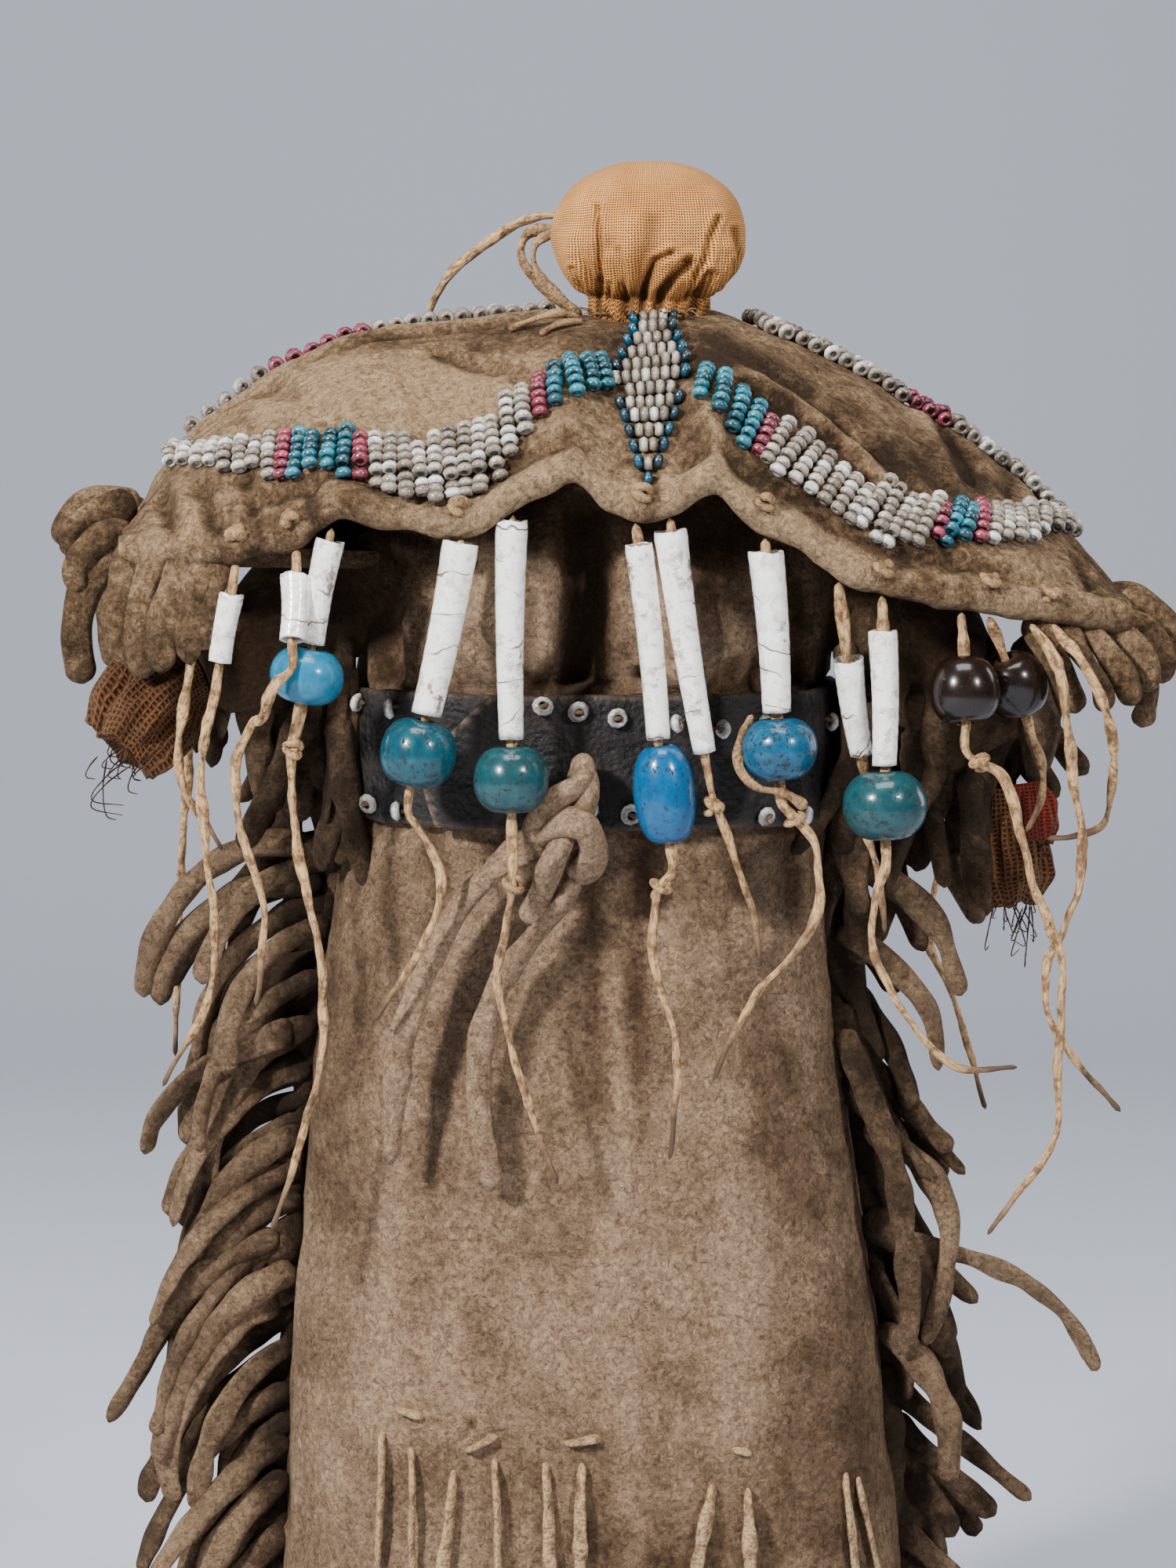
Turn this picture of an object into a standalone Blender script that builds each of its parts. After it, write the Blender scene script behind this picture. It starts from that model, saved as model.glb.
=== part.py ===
"""A beaded hide doll, as plains families made them: a plain cloth ball for a head, a stuffed hide dress
with a wide folded yoke, bands of pony beads, and shells and glass beads strung on thongs from the
yoke's edge. Metres, +Z up, the front faces -Y, and the hem stands flat on z = 0."""

import math
import random

import bmesh
import bpy
from mathutils import Vector
from mathutils.bvhtree import BVHTree

for old in list(bpy.data.objects):
    bpy.data.objects.remove(old, do_unlink=True)

# Clearances
GAP = 0.0003
BAND_LIFT = 0.0009
UNDER_YOKE_GAP = 0.0008
HANG_GAP = 0.001
NECK_LIFT = 0.0006
BEAD_GAP = 0.0005
HAND_GAP = 0.0006

# The stuffed dress
HEM_WIDTH = 0.115
HEM_DEPTH = 0.076
WAIST_WIDTH = 0.0845
WAIST_DEPTH = 0.057
WAIST_HEIGHT = 0.200
CHEST_WIDTH = 0.086
CHEST_DEPTH = 0.062
SHOULDER_HEIGHT = 0.262
HEM_EDGE = 0.004
DRESS_LEAN = 0.0045
DRESS_X = -0.0015
CHEST_FOLD = 0.004
SLEEVE_RADIUS = 0.013
CUFF_RADIUS = 0.009

# The belt
BELT_HEIGHT = 0.0235
BELT_THICKNESS = 0.0018
BELT_END_CUT = 0.009
BELT_END_X = -0.023
BELT_OVERLAP_X = 0.036
TIE_X = -0.0055
TIE_KNOT_SIZE = 0.0095
TIE_DIAMETER = 0.005

# The yoke
YOKE_WIDTH = 0.176
YOKE_X = 0.004
YOKE_DEPTH = 0.092
YOKE_TOP = 0.277
YOKE_RISE = 0.055
YOKE_THICKNESS = 0.0022
RIM_RADIUS = 0.0025
SLEEVE_STRIP_LENGTH = 0.024
SLEEVE_STRIP_WIDTH = 0.0056
STRIP_THICKNESS = 0.0024

# The head
HEAD_WIDTH = 0.0346
HEAD_DEPTH = 0.030
HEAD_HEIGHT = 0.0262
HEAD_X = 0.0083
HEAD_Y = -0.001
NECK_WIDTH = 0.024
NECK_DEPTH = 0.019

# Beadwork
LANE_CREST = 0.0019
LANE_VALLEY = 0.0008
PONY_BEAD = 0.0019
FRONT_LANE_PITCH = 0.0031
BACK_LANE_PITCH = 0.0075

# Shells, beads and thongs
THONG_DIAMETER = 0.0024
BORE_CLEARANCE = 0.0003
SHELL_WALL = 0.0009
BROWN_BEAD_DROP = 0.0082

# Fringes and hands
SIDE_STRIP_LENGTH = 0.046
SIDE_STRIP_WIDTH = 0.0060
SEAM_WIDTH = 0.004
LEFT_STRIPS = 13
RIGHT_STRIPS = 10
HAND_LENGTH = 0.019
HAND_RADIUS = 0.0088

# How many flat sides the round pieces have
DRESS_SIDES = 24
HEAD_SIDES = 18
SHELL_SIDES = 7
BEAD_SIDES = 8
HAND_SIDES = 10

# The rim's wave and the shoulder line, as shares of half the yoke's width and of its rise.
RIM_WAVE = [(-1.0, 0.27), (-0.68, 0.31), (-0.56, 0.42), (-0.45, 0.39), (-0.36, 0.38), (-0.29, 0.39),
            (-0.21, 0.46), (-0.17, 0.50), (-0.10, 0.55), (-0.04, 0.46), (0.03, 0.43), (0.10, 0.45),
            (0.17, 0.51), (0.22, 0.44), (0.26, 0.39), (0.33, 0.34), (0.43, 0.23), (0.58, 0.17),
            (0.84, 0.10), (1.0, 0.06)]
SHOULDER_LINE = [(-1.0, 0.34), (-0.94, 0.47), (-0.86, 0.62), (-0.63, 0.85), (-0.31, 0.98), (0.0, 1.0),
                 (0.20, 1.0), (0.45, 0.82), (0.76, 0.50), (0.93, 0.25), (1.0, 0.12)]
# Where the beaded bands run: along the yoke, and how far out from the shoulder line to the rim.
FRONT_LEFT_LINE = [(-0.90, 0.24), (-0.855, 0.46), (-0.77, 0.62), (-0.65, 0.75), (-0.51, 0.84),
                   (-0.39, 0.87), (-0.25, 0.83), (-0.15, 0.71), (-0.045, 0.57)]
FRONT_RIGHT_LINE = [(0.155, 0.66), (0.22, 0.75), (0.31, 0.79), (0.46, 0.82), (0.54, 0.82), (0.67, 0.75),
                    (0.78, 0.61), (0.855, 0.33), (0.88, 0.22)]
BACK_LEFT_LINE = [(-0.90, -0.16), (-0.60, -0.26), (-0.25, -0.22), (-0.16, -0.20)]
BACK_RIGHT_LINE = [(0.27, -0.20), (0.45, -0.26), (0.70, -0.24), (0.90, -0.16)]
# The bead diamond over the chest: how far out each row lies, and half its width.
CENTRE_X = 0.009
CENTRE_ROWS = [(0.30, 0.0042), (0.40, 0.0042), (0.47, 0.0036), (0.54, 0.0054), (0.60, 0.0068), (0.66, 0.0052),
               (0.72, 0.0043), (0.79, 0.0032), (0.85, 0.0022), (0.895, 0.0009)]
# The stuffed sleeves' middle lines, from inside the chest to the cuff.
LEFT_SLEEVE_LINE = [(-0.030, 0.001, 0.234), (-0.046, -0.002, 0.229), (-0.060, -0.007, 0.220),
                    (-0.072, -0.012, 0.2145)]
RIGHT_SLEEVE_LINE = [(0.028, 0.001, 0.236), (0.046, -0.001, 0.2275), (0.0595, -0.004, 0.2135),
                     (0.0685, -0.008, 0.1985)]


def lerp(a, b, t):
    return a + (b - a) * t


def ease(t):
    t = min(1.0, max(0.0, t))
    return t * t * (3 - 2 * t)


def read_line(line, at):
    """The height of a line through chosen points, rounded off between them."""
    if at <= line[0][0]:
        return line[0][1]
    for (s0, h0), (s1, h1) in zip(line, line[1:]):
        if at <= s1:
            return lerp(h0, h1, ease((at - s0) / (s1 - s0)) * 0.5 + (at - s0) / (s1 - s0) * 0.5)
    return line[-1][1]


def smooth_points(route, spacing):
    """Evenly spaced points on one smooth curve through the route's points."""
    points = [Vector(p) for p in route]
    ends = [2 * points[0] - points[1]] + points + [2 * points[-1] - points[-2]]
    fine = []
    for a, b, c, d in zip(ends, ends[1:], ends[2:], ends[3:]):
        for step in range(12):
            t = step / 12
            fine.append(0.5 * (2 * b + (c - a) * t + (2 * a - 5 * b + 4 * c - d) * t * t
                               + (3 * b - a - 3 * c + d) * t ** 3))
    fine.append(points[-1])
    lengths = [0.0]
    for a, b in zip(fine, fine[1:]):
        lengths.append(lengths[-1] + (b - a).length)
    count = max(2, round(lengths[-1] / spacing))
    result = []
    index = 0
    for number in range(count + 1):
        wanted = lengths[-1] * number / count
        while index < len(fine) - 2 and lengths[index + 1] < wanted:
            index += 1
        share = (wanted - lengths[index]) / max(1e-9, lengths[index + 1] - lengths[index])
        result.append(fine[index].lerp(fine[index + 1], share))
    return result


def material(name, color, roughness, metallic=0.0):
    made = bpy.data.materials.new(name)
    made.use_nodes = True
    shader = made.node_tree.nodes["Principled BSDF"]
    shader.inputs["Base Color"].default_value = (*color, 1.0)
    shader.inputs["Roughness"].default_value = roughness
    shader.inputs["Metallic"].default_value = metallic
    return made


HIDE = material("smoked_hide", (0.30, 0.22, 0.16), 0.9)
YOKE_HIDE = material("sooty_hide", (0.27, 0.20, 0.13), 0.9)
FRINGE_HIDE = material("dark_fringe_hide", (0.17, 0.12, 0.08), 0.9)
THONG_HIDE = material("rawhide_thong", (0.45, 0.28, 0.13), 0.75)
CLOTH = material("ochre_cotton", (0.67, 0.38, 0.16), 0.9)
HAND_CLOTH = material("rust_cloth", (0.16, 0.06, 0.03), 0.95)
BLACK_LEATHER = material("black_leather", (0.012, 0.011, 0.011), 0.55)
SHELL = material("ivory_shell", (0.80, 0.76, 0.70), 0.25)
BEADWORK = material("pale_pony_beads", (0.45, 0.40, 0.34), 0.3)
GLASS = material("blue_glass", (0.06, 0.30, 0.42), 0.2)
DARK_GLASS = material("brown_glass", (0.03, 0.018, 0.014), 0.2)


def add_mesh(name, bm, look, shade=True):
    bmesh.ops.recalc_face_normals(bm, faces=bm.faces)
    mesh = bpy.data.meshes.new(name)
    bm.to_mesh(mesh)
    bm.free()
    mesh.materials.append(look)
    if shade:
        mesh.shade_smooth()
        mesh.set_sharp_from_angle(angle=math.radians(40))
    made = bpy.data.objects.new(name, mesh)
    bpy.context.collection.objects.link(made)
    return made


def close_rows(bm, rows):
    """Walls between rows of equally many vertices, with a face over each end."""
    for lower, upper in zip(rows, rows[1:]):
        for i in range(len(lower)):
            j = (i + 1) % len(lower)
            bm.faces.new((lower[i], lower[j], upper[j], upper[i]))
    bm.faces.new(rows[0])
    bm.faces.new(rows[-1])


def close_round(bm, loops):
    """Walls between loops of equally many vertices, and from the last loop back to the first."""
    for lower, upper in zip(loops, loops[1:] + loops[:1]):
        for i in range(len(lower)):
            j = (i + 1) % len(lower)
            bm.faces.new((lower[i], lower[j], upper[j], upper[i]))


def loft(name, rings, look):
    """A closed body through rings of equally many points, flat at both ends."""
    bm = bmesh.new()
    close_rows(bm, [[bm.verts.new(point) for point in ring] for ring in rings])
    return add_mesh(name, bm, look)


def turned_along(name, points, outer, inner, sides, look):
    """A bored body along a line of points: outer holds a radius at each point, inner is the bore's."""
    bm = bmesh.new()
    loops = []
    stations = [(points[i], outer[i]) for i in range(len(points))] + [(points[-1], inner), (points[0], inner)]
    first = (points[-1] - points[0]).normalized()
    side = first.cross(Vector((0, 1, 0))).normalized()
    for index, (centre, radius) in enumerate(stations):
        k = min(index, len(points) - 1) if index <= len(points) else 0
        before = points[max(0, k - 1)]
        after = points[min(len(points) - 1, k + 1)]
        along = (after - before).normalized()
        across = (side - along * side.dot(along)).normalized()
        other = along.cross(across)
        wide, deep = radius if isinstance(radius, tuple) else (radius, radius)
        ring = []
        for step in range(sides):
            angle = math.tau * (step + 0.5) / sides
            ring.append(bm.verts.new(centre + across * math.cos(angle) * wide + other * math.sin(angle) * deep))
        loops.append(ring)
    close_round(bm, loops)
    return add_mesh(name, bm, look)


def cord(name, route, diameter, look=THONG_HIDE):
    """A thong: one smooth tube with closed ends, a point every three diameters."""
    data = bpy.data.curves.new(name, "CURVE")
    data.dimensions = "3D"
    data.bevel_depth = diameter / 2
    data.bevel_resolution = 2
    data.use_fill_caps = True
    points = smooth_points(route, 3 * diameter)
    spline = data.splines.new("POLY")
    spline.points.add(len(points) - 1)
    for place, point in zip(spline.points, points):
        place.co = (*point, 1.0)
    data.materials.append(look)
    made = bpy.data.objects.new(name, data)
    bpy.context.collection.objects.link(made)
    return made


def strip(name, route, width, thickness, look, flat=Vector((0, 1, 0))):
    """A cut fringe strip: four-sided, a little narrower towards its tip, flat side across flat."""
    points = [Vector(p) for p in route]
    rings = []
    for index, point in enumerate(points):
        along = (points[min(index + 1, len(points) - 1)] - points[max(index - 1, 0)]).normalized()
        deep = (flat - along * flat.dot(along)).normalized()
        wide = along.cross(deep)
        share = lerp(1.0, 0.65, index / (len(points) - 1))
        w = width / 2 * share
        t = thickness / 2 * lerp(1.0, 0.8, index / (len(points) - 1))
        rings.append([point - wide * w - deep * t, point + wide * w - deep * t,
                      point + wide * w + deep * t, point - wide * w + deep * t])
    return loft(name, rings, look)


def unite(base, others, name):
    """Joins helper bodies to a base with one union, and hides the helpers."""
    helpers = bpy.data.collections.new(name)
    bpy.context.scene.collection.children.link(helpers)
    for other in others:
        for home in list(other.users_collection):
            home.objects.unlink(other)
        helpers.objects.link(other)
        other.hide_render = True
        other.display_type = "WIRE"
    union = base.modifiers.new(name, "BOOLEAN")
    union.operation = "UNION"
    union.operand_type = "COLLECTION"
    union.collection = helpers
    union.solver = "EXACT"


# The yoke's surface
def yoke_share(x):
    return (x - YOKE_X) / (YOKE_WIDTH / 2)


def rim_height(x):
    return YOKE_TOP - YOKE_RISE + YOKE_RISE * read_line(RIM_WAVE, yoke_share(x))


def shoulder_height(x):
    return YOKE_TOP - YOKE_RISE + YOKE_RISE * read_line(SHOULDER_LINE, yoke_share(x))


def rim_depth(x):
    return YOKE_DEPTH / 2 * (1 - 0.37 * abs(yoke_share(x)) ** 3)


def yoke_surface(x, out):
    """A point on the yoke: out runs from 0 at the shoulder line to 1 at the front rim, -1 at the back."""
    fall = abs(out) ** 1.8
    return Vector((x, -out * rim_depth(x), lerp(shoulder_height(x), rim_height(x) + RIM_RADIUS / 2, fall)))


def yoke_height(x, y):
    return yoke_surface(x, max(-1.0, min(1.0, -y / rim_depth(x)))).z


def rim_centre(x, side):
    return Vector((x, side * (rim_depth(x) - RIM_RADIUS), rim_height(x)))


def yoke_section(x):
    """One slice across the yoke: over the top from back to front, round the rolled rim and back below."""
    top = [yoke_surface(x, out) for out in (-0.89, -0.68, -0.42, -0.16, 0.0, 0.16, 0.42, 0.68, 0.89)]
    down = Vector((0, 0, -YOKE_THICKNESS))
    under = [yoke_surface(x, out) + down for out in (0.80, 0.42, 0.0, -0.42, -0.80)]
    roll = []
    for degrees in (50, -20, -95):
        turn = math.radians(degrees)
        roll.append((math.cos(turn) * RIM_RADIUS, math.sin(turn) * RIM_RADIUS))
    front = [rim_centre(x, -1) + Vector((0, -out, up)) for out, up in roll]
    back = [rim_centre(x, 1) + Vector((0, out, up)) for out, up in reversed(roll)]
    return top + front + under + back


def strip_route(start, out, drop, length, steps=3):
    """A strip that leaves sideways and bends down under its own weight."""
    route = []
    for step in range(steps + 1):
        t = step / steps
        route.append(start + out * (length * 0.75 * math.sin(t * math.pi / 2) * drop[0])
                     + Vector((0, 0, -length * (drop[1] * t + drop[2] * t * t))))
    return route


def make_yoke():
    shares = sorted({s for s, _ in RIM_WAVE}
                    | {-0.93, -0.84, -0.76, 0.50, 0.66, 0.75, 0.92})
    sections = [yoke_section(YOKE_X + share * YOKE_WIDTH / 2) for share in shares]
    body = loft("yoke", sections, YOKE_HIDE)
    rng = random.Random(4)
    strips = []
    for side, count in ((-1, 7), (1, 7)):
        end_x = YOKE_X + side * YOKE_WIDTH / 2
        for number in range(count):
            # The first strips hang from the front rim near the sleeve's end, the rest from the end itself.
            if number < 3:
                x = end_x - side * (0.0105 - number * 0.0042)
                root = rim_centre(x, -1) + Vector((0, 0.0008, -0.0005))
                out = Vector((side * 0.35, -0.16, 0))
                bend = (0.35, 0.75, 0.15)
            else:
                share = lerp(0.86, -0.86, (number - 3) / (count - 4))
                x = end_x - side * 0.0015
                root = yoke_surface(x, share) + Vector((0, 0, -YOKE_THICKNESS * 0.55))
                out = Vector((side, -0.25 * share, 0))
                bend = (0.62, 0.12, 0.62)
            length = SLEEVE_STRIP_LENGTH * rng.uniform(0.85, 1.15)
            flat = Vector((0, 1, 0)) if number < 3 else Vector((side * 0.5, 0, 1))
            strips.append(strip(f"sleeve_strip_{side}_{number}", strip_route(root, out, bend, length),
                                SLEEVE_STRIP_WIDTH, STRIP_THICKNESS, YOKE_HIDE, flat))
    unite(body, strips, "sleeve_fringe")
    return body


# The stuffed dress
def dress_half(z):
    """Half width, half depth and sideways lean of the dress at a height."""
    belt_low = WAIST_HEIGHT - BELT_HEIGHT / 2 - GAP
    belt_high = WAIST_HEIGHT + BELT_HEIGHT / 2 + GAP
    if z <= belt_low:
        share = (z / belt_low) ** 1.5
        return (lerp(HEM_WIDTH, WAIST_WIDTH, share) / 2, lerp(HEM_DEPTH, WAIST_DEPTH, share) / 2,
                DRESS_X - DRESS_LEAN * math.sin(math.pi * z / belt_low))
    if z <= belt_high:
        return WAIST_WIDTH / 2, WAIST_DEPTH / 2, DRESS_X
    share = (z - belt_high) / (SHOULDER_HEIGHT - belt_high)
    bulge = math.sin(math.pi * min(1.0, share * 1.6) / 2)
    close = math.sqrt(max(0.0, 1 - share ** 3.2))
    return (lerp(WAIST_WIDTH, CHEST_WIDTH, bulge) / 2 * close, lerp(WAIST_DEPTH, CHEST_DEPTH, bulge) / 2 * close,
            lerp(DRESS_X, YOKE_X, share))


def dress_ring(z, offset=0.0):
    wide, deep, lean = dress_half(z)
    belt_high = WAIST_HEIGHT + BELT_HEIGHT / 2 + GAP
    ring = []
    for step in range(DRESS_SIDES):
        angle = math.tau * step / DRESS_SIDES
        c, s = math.cos(angle), math.sin(angle)
        round_off = (abs(c) ** 2.4 + abs(s) ** 2.4) ** (-1 / 2.4)
        # The chest gathers into one deep fold in front, above the belt.
        fold = 0.0
        if z > belt_high and s < -0.7:
            rise = ease((z - belt_high) / 0.008) * ease((SHOULDER_HEIGHT - z) / 0.012)
            fold = CHEST_FOLD * rise * math.cos(7 * (angle - math.radians(270)))
        out = round_off + offset / wide
        deep_out = round_off + offset / deep
        ring.append(Vector((lean + wide * c * out, deep * s * deep_out + fold, z)))
    return ring


def make_dress():
    belt_low = WAIST_HEIGHT - BELT_HEIGHT / 2 - GAP
    belt_high = WAIST_HEIGHT + BELT_HEIGHT / 2 + GAP
    heights = [0.0, HEM_EDGE] + [lerp(HEM_EDGE, belt_low, share) for share in (0.3, 0.6, 0.85, 1.0)]
    heights += [lerp(belt_high, SHOULDER_HEIGHT, share) for share in (0.0, 0.2, 0.45, 0.7, 0.9, 0.985)]
    rings = []
    for z in heights:
        ring = dress_ring(z)
        if z == 0.0:
            ring = [Vector((p.x * 0.975, p.y * 0.965, 0.0)) for p in ring]
        for p in ring:
            p.z = min(p.z, yoke_height(p.x, p.y) - YOKE_THICKNESS - UNDER_YOKE_GAP)
        rings.append(ring)
    body = loft("dress", rings, HIDE)
    sleeves = [sleeve(side) for side in (-1, 1)]
    unite(body, sleeves, "sleeves")
    return body


def sleeve_line(side):
    return [Vector(point) for point in (LEFT_SLEEVE_LINE if side < 0 else RIGHT_SLEEVE_LINE)]


def sleeve(side):
    line = sleeve_line(side)
    rings = []
    for index, centre in enumerate(line):
        along = (line[min(index + 1, 3)] - line[max(index - 1, 0)]).normalized()
        across = along.cross(Vector((0, 1, 0))).normalized()
        deep = across.cross(along)
        radius = lerp(SLEEVE_RADIUS, CUFF_RADIUS, index / 3)
        rings.append([centre + across * math.cos(math.tau * k / 10) * radius
                      + deep * math.sin(math.tau * k / 10) * radius * 1.15 for k in range(10)])
    return loft(f"sleeve_{side}", rings, HIDE)


def make_hand(name, side):
    """A hand is a bundle of torn cloth pushed into the cuff: it bulges, and is cut off raggedly."""
    line = sleeve_line(side)
    out = (line[-1] - line[-2]).normalized()
    start = line[-1] + out * HAND_GAP
    rings = []
    for share, swell in ((0.0, 0.72), (0.3, 1.0), (0.6, 1.05), (0.85, 0.95), (1.0, 0.6)):
        along = (out + Vector((0, 0, -0.6 * share))).normalized()
        across = along.cross(Vector((0, 1, 0))).normalized()
        deep = across.cross(along)
        ring = []
        for k in range(HAND_SIDES):
            angle = math.tau * k / HAND_SIDES
            radius = HAND_RADIUS * swell * (1 + 0.07 * math.sin(3 * angle + share * 5))
            point = start + along * HAND_LENGTH * share
            ring.append(point + across * math.cos(angle) * radius + deep * math.sin(angle) * radius)
        rings.append(ring)
    return loft(name, rings, HAND_CLOTH)


# The belt and its tie
def make_belt():
    low = WAIST_HEIGHT - BELT_HEIGHT / 2
    high = WAIST_HEIGHT + BELT_HEIGHT / 2
    inner_low = [p + Vector((0, 0, low - p.z)) for p in dress_ring(WAIST_HEIGHT, GAP)]
    loops = [inner_low]
    loops.append([p + Vector((0, 0, BELT_HEIGHT)) for p in inner_low])
    for z in (high, WAIST_HEIGHT, low):
        ring = []
        cut = BELT_END_X + BELT_END_CUT * (z - WAIST_HEIGHT) / BELT_HEIGHT
        for point in dress_ring(WAIST_HEIGHT, GAP + BELT_THICKNESS):
            doubled = point.y < 0 and cut < point.x < BELT_OVERLAP_X
            extra = BELT_THICKNESS * (0.85 if doubled else 0.0)
            ring.append(Vector((point.x, point.y - extra, z)))
        loops.append(ring)
    bm = bmesh.new()
    close_round(bm, [[bm.verts.new(point) for point in loop] for loop in loops])
    return add_mesh("belt", bm, BLACK_LEATHER)


def belt_front(x):
    """How far forward the belt's doubled outer face stands at x."""
    ring = dress_ring(WAIST_HEIGHT, GAP + BELT_THICKNESS * 2)
    front = sorted((p for p in ring if p.y < 0), key=lambda p: abs(p.x - x))
    return min(front[0].y, front[1].y)


def tie_centre():
    return Vector((TIE_X, belt_front(TIE_X) - GAP - TIE_KNOT_SIZE * 0.42, WAIST_HEIGHT - 0.0045))


def make_tie_knot():
    bm = bmesh.new()
    bmesh.ops.create_uvsphere(bm, u_segments=10, v_segments=6, radius=TIE_KNOT_SIZE / 2)
    for vert in bm.verts:
        angle = math.atan2(vert.co.z, vert.co.x)
        swell = 1 + 0.10 * math.sin(3 * angle + 0.6) + 0.06 * math.sin(5 * angle)
        vert.co = Vector((vert.co.x * 0.92 * swell, vert.co.y * 0.80, vert.co.z * 1.45 * swell))
    bmesh.ops.translate(bm, verts=bm.verts, vec=tie_centre())
    return add_mesh("belt_tie_knot", bm, HIDE)


# The head
def make_head(surface):
    """A ball of cotton over stuffing, gathered in folds to the neck. It has no face."""
    rise = HEAD_HEIGHT / 2
    middle = Vector((HEAD_X, HEAD_Y, YOKE_TOP + HEAD_HEIGHT / 2 + 0.0009))
    rings = []
    for degrees in (-84, -66, -46, -26, -2, 22, 46, 66, 80):
        turn = math.radians(degrees)
        share = math.cos(turn) ** 0.9
        wide = HEAD_WIDTH / 2 * share
        deep = HEAD_DEPTH / 2 * share
        gather = ease((-degrees - 15) / 50)
        wide = lerp(wide, max(wide, NECK_WIDTH / 2), gather)
        deep = lerp(deep, max(deep, NECK_DEPTH / 2), gather)
        ring = []
        for k in range(HEAD_SIDES):
            angle = math.tau * k / HEAD_SIDES
            fold = 1 + 0.07 * gather * math.sin(7 * angle + 0.5)
            # The front right side sags into a lobe beside the deepest fold.
            lobe = 0.05 * math.exp(-((angle - math.radians(318)) / 0.35) ** 2) * math.cos(turn)
            place = middle + Vector((wide * math.cos(angle) * (fold + lobe), deep * math.sin(angle) * (fold + lobe),
                                     rise * math.sin(turn)))
            ring.append(place)
        rings.append(ring)
    # The cloth's gathered end rests on the yoke, so its two lowest rings follow the hide.
    rings[0] = [middle + (point - middle) * Vector((0.45, 0.45, 1.0)) for point in rings[1]]
    for index, lift in enumerate((NECK_LIFT * 2, NECK_LIFT, NECK_LIFT * 4)):
        for point in rings[index]:
            below = surface.ray_cast(Vector((point.x, point.y, YOKE_TOP + YOKE_RISE)), Vector((0, 0, -1)))[0]
            point.z = below.z + lift if index < 2 else max(point.z, below.z + lift)
    return loft("head", rings, CLOTH)


# Beadwork: lanes of beads sewn across a band, each lane one ridge
def band_half_width(share):
    return PONY_BEAD * lerp(3.1, 2.4, ease((abs(share) - 0.5) / 0.4)) * lerp(0.82, 1.0, ease(abs(share) / 0.3))


def make_band(name, line, pitch, surface):
    places = []
    share = line[0][0]
    while share < line[-1][0]:
        places.append(share)
        here = yoke_surface(YOKE_X + share * YOKE_WIDTH / 2, read_line(line, share))
        ahead = yoke_surface(YOKE_X + (share + 0.01) * YOKE_WIDTH / 2, read_line(line, share + 0.01))
        share += 0.01 * (pitch / 2) / (ahead - here).length
    if len(places) % 2 == 0:
        places.pop()
    bm = bmesh.new()
    rows = []
    for index, share in enumerate(places):
        here = yoke_surface(YOKE_X + share * YOKE_WIDTH / 2, read_line(line, share))
        ahead = yoke_surface(YOKE_X + (share + 0.02) * YOKE_WIDTH / 2, read_line(line, share + 0.02))
        back = yoke_surface(YOKE_X + (share - 0.02) * YOKE_WIDTH / 2, read_line(line, share - 0.02))
        out_step = 0.03 if here.y > 0 else -0.03
        steep = yoke_surface(here.x, -here.y / rim_depth(here.x) - out_step) - here
        along = (ahead - back).normalized()
        normal = along.cross(steep).normalized()
        if normal.z < 0:
            normal = -normal
        across = normal.cross(along).normalized()
        half = band_half_width(share)
        crest = LANE_CREST if index % 2 else LANE_VALLEY
        ring = []
        for offset, height in ((-1.0, 0.0), (0.0, 0.0), (1.0, 0.0), (0.90, crest), (-0.90, crest)):
            spot = here + across * half * offset
            hit = surface.ray_cast(spot + Vector((0, 0, 0.02)), Vector((0, 0, -1)))[0]
            ring.append(hit + normal * (BAND_LIFT + height))
        rows.append([bm.verts.new(point) for point in ring])
    close_rows(bm, rows)
    return add_mesh(name, bm, BEADWORK)


def make_centre_beadwork(surface):
    """The diamond of beads at the middle of the yoke, with its point over the rim's valley."""
    bm = bmesh.new()
    rows = []
    for index, (out, half) in enumerate(CENTRE_ROWS):
        here = yoke_surface(CENTRE_X, out)
        steep = (yoke_surface(CENTRE_X, out + 0.03) - yoke_surface(CENTRE_X, out - 0.03)).normalized()
        normal = Vector((1, 0, 0)).cross(steep).normalized()
        if normal.z < 0:
            normal = -normal
        crest = LANE_CREST if index % 2 else LANE_CREST * 0.75
        ring = []
        for offset, height in ((-1.0, 0.0), (0.0, 0.0), (1.0, 0.0), (0.9, crest), (0.0, crest), (-0.9, crest)):
            spot = here + Vector((half * offset, 0, 0))
            hit = surface.ray_cast(spot + Vector((0, 0, 0.02)), Vector((0, 0, -1)))[0]
            ring.append(hit + normal * (BAND_LIFT + height))
        rows.append([bm.verts.new(point) for point in ring])
    close_rows(bm, rows)
    return add_mesh("centre_beadwork", bm, BEADWORK)


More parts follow.
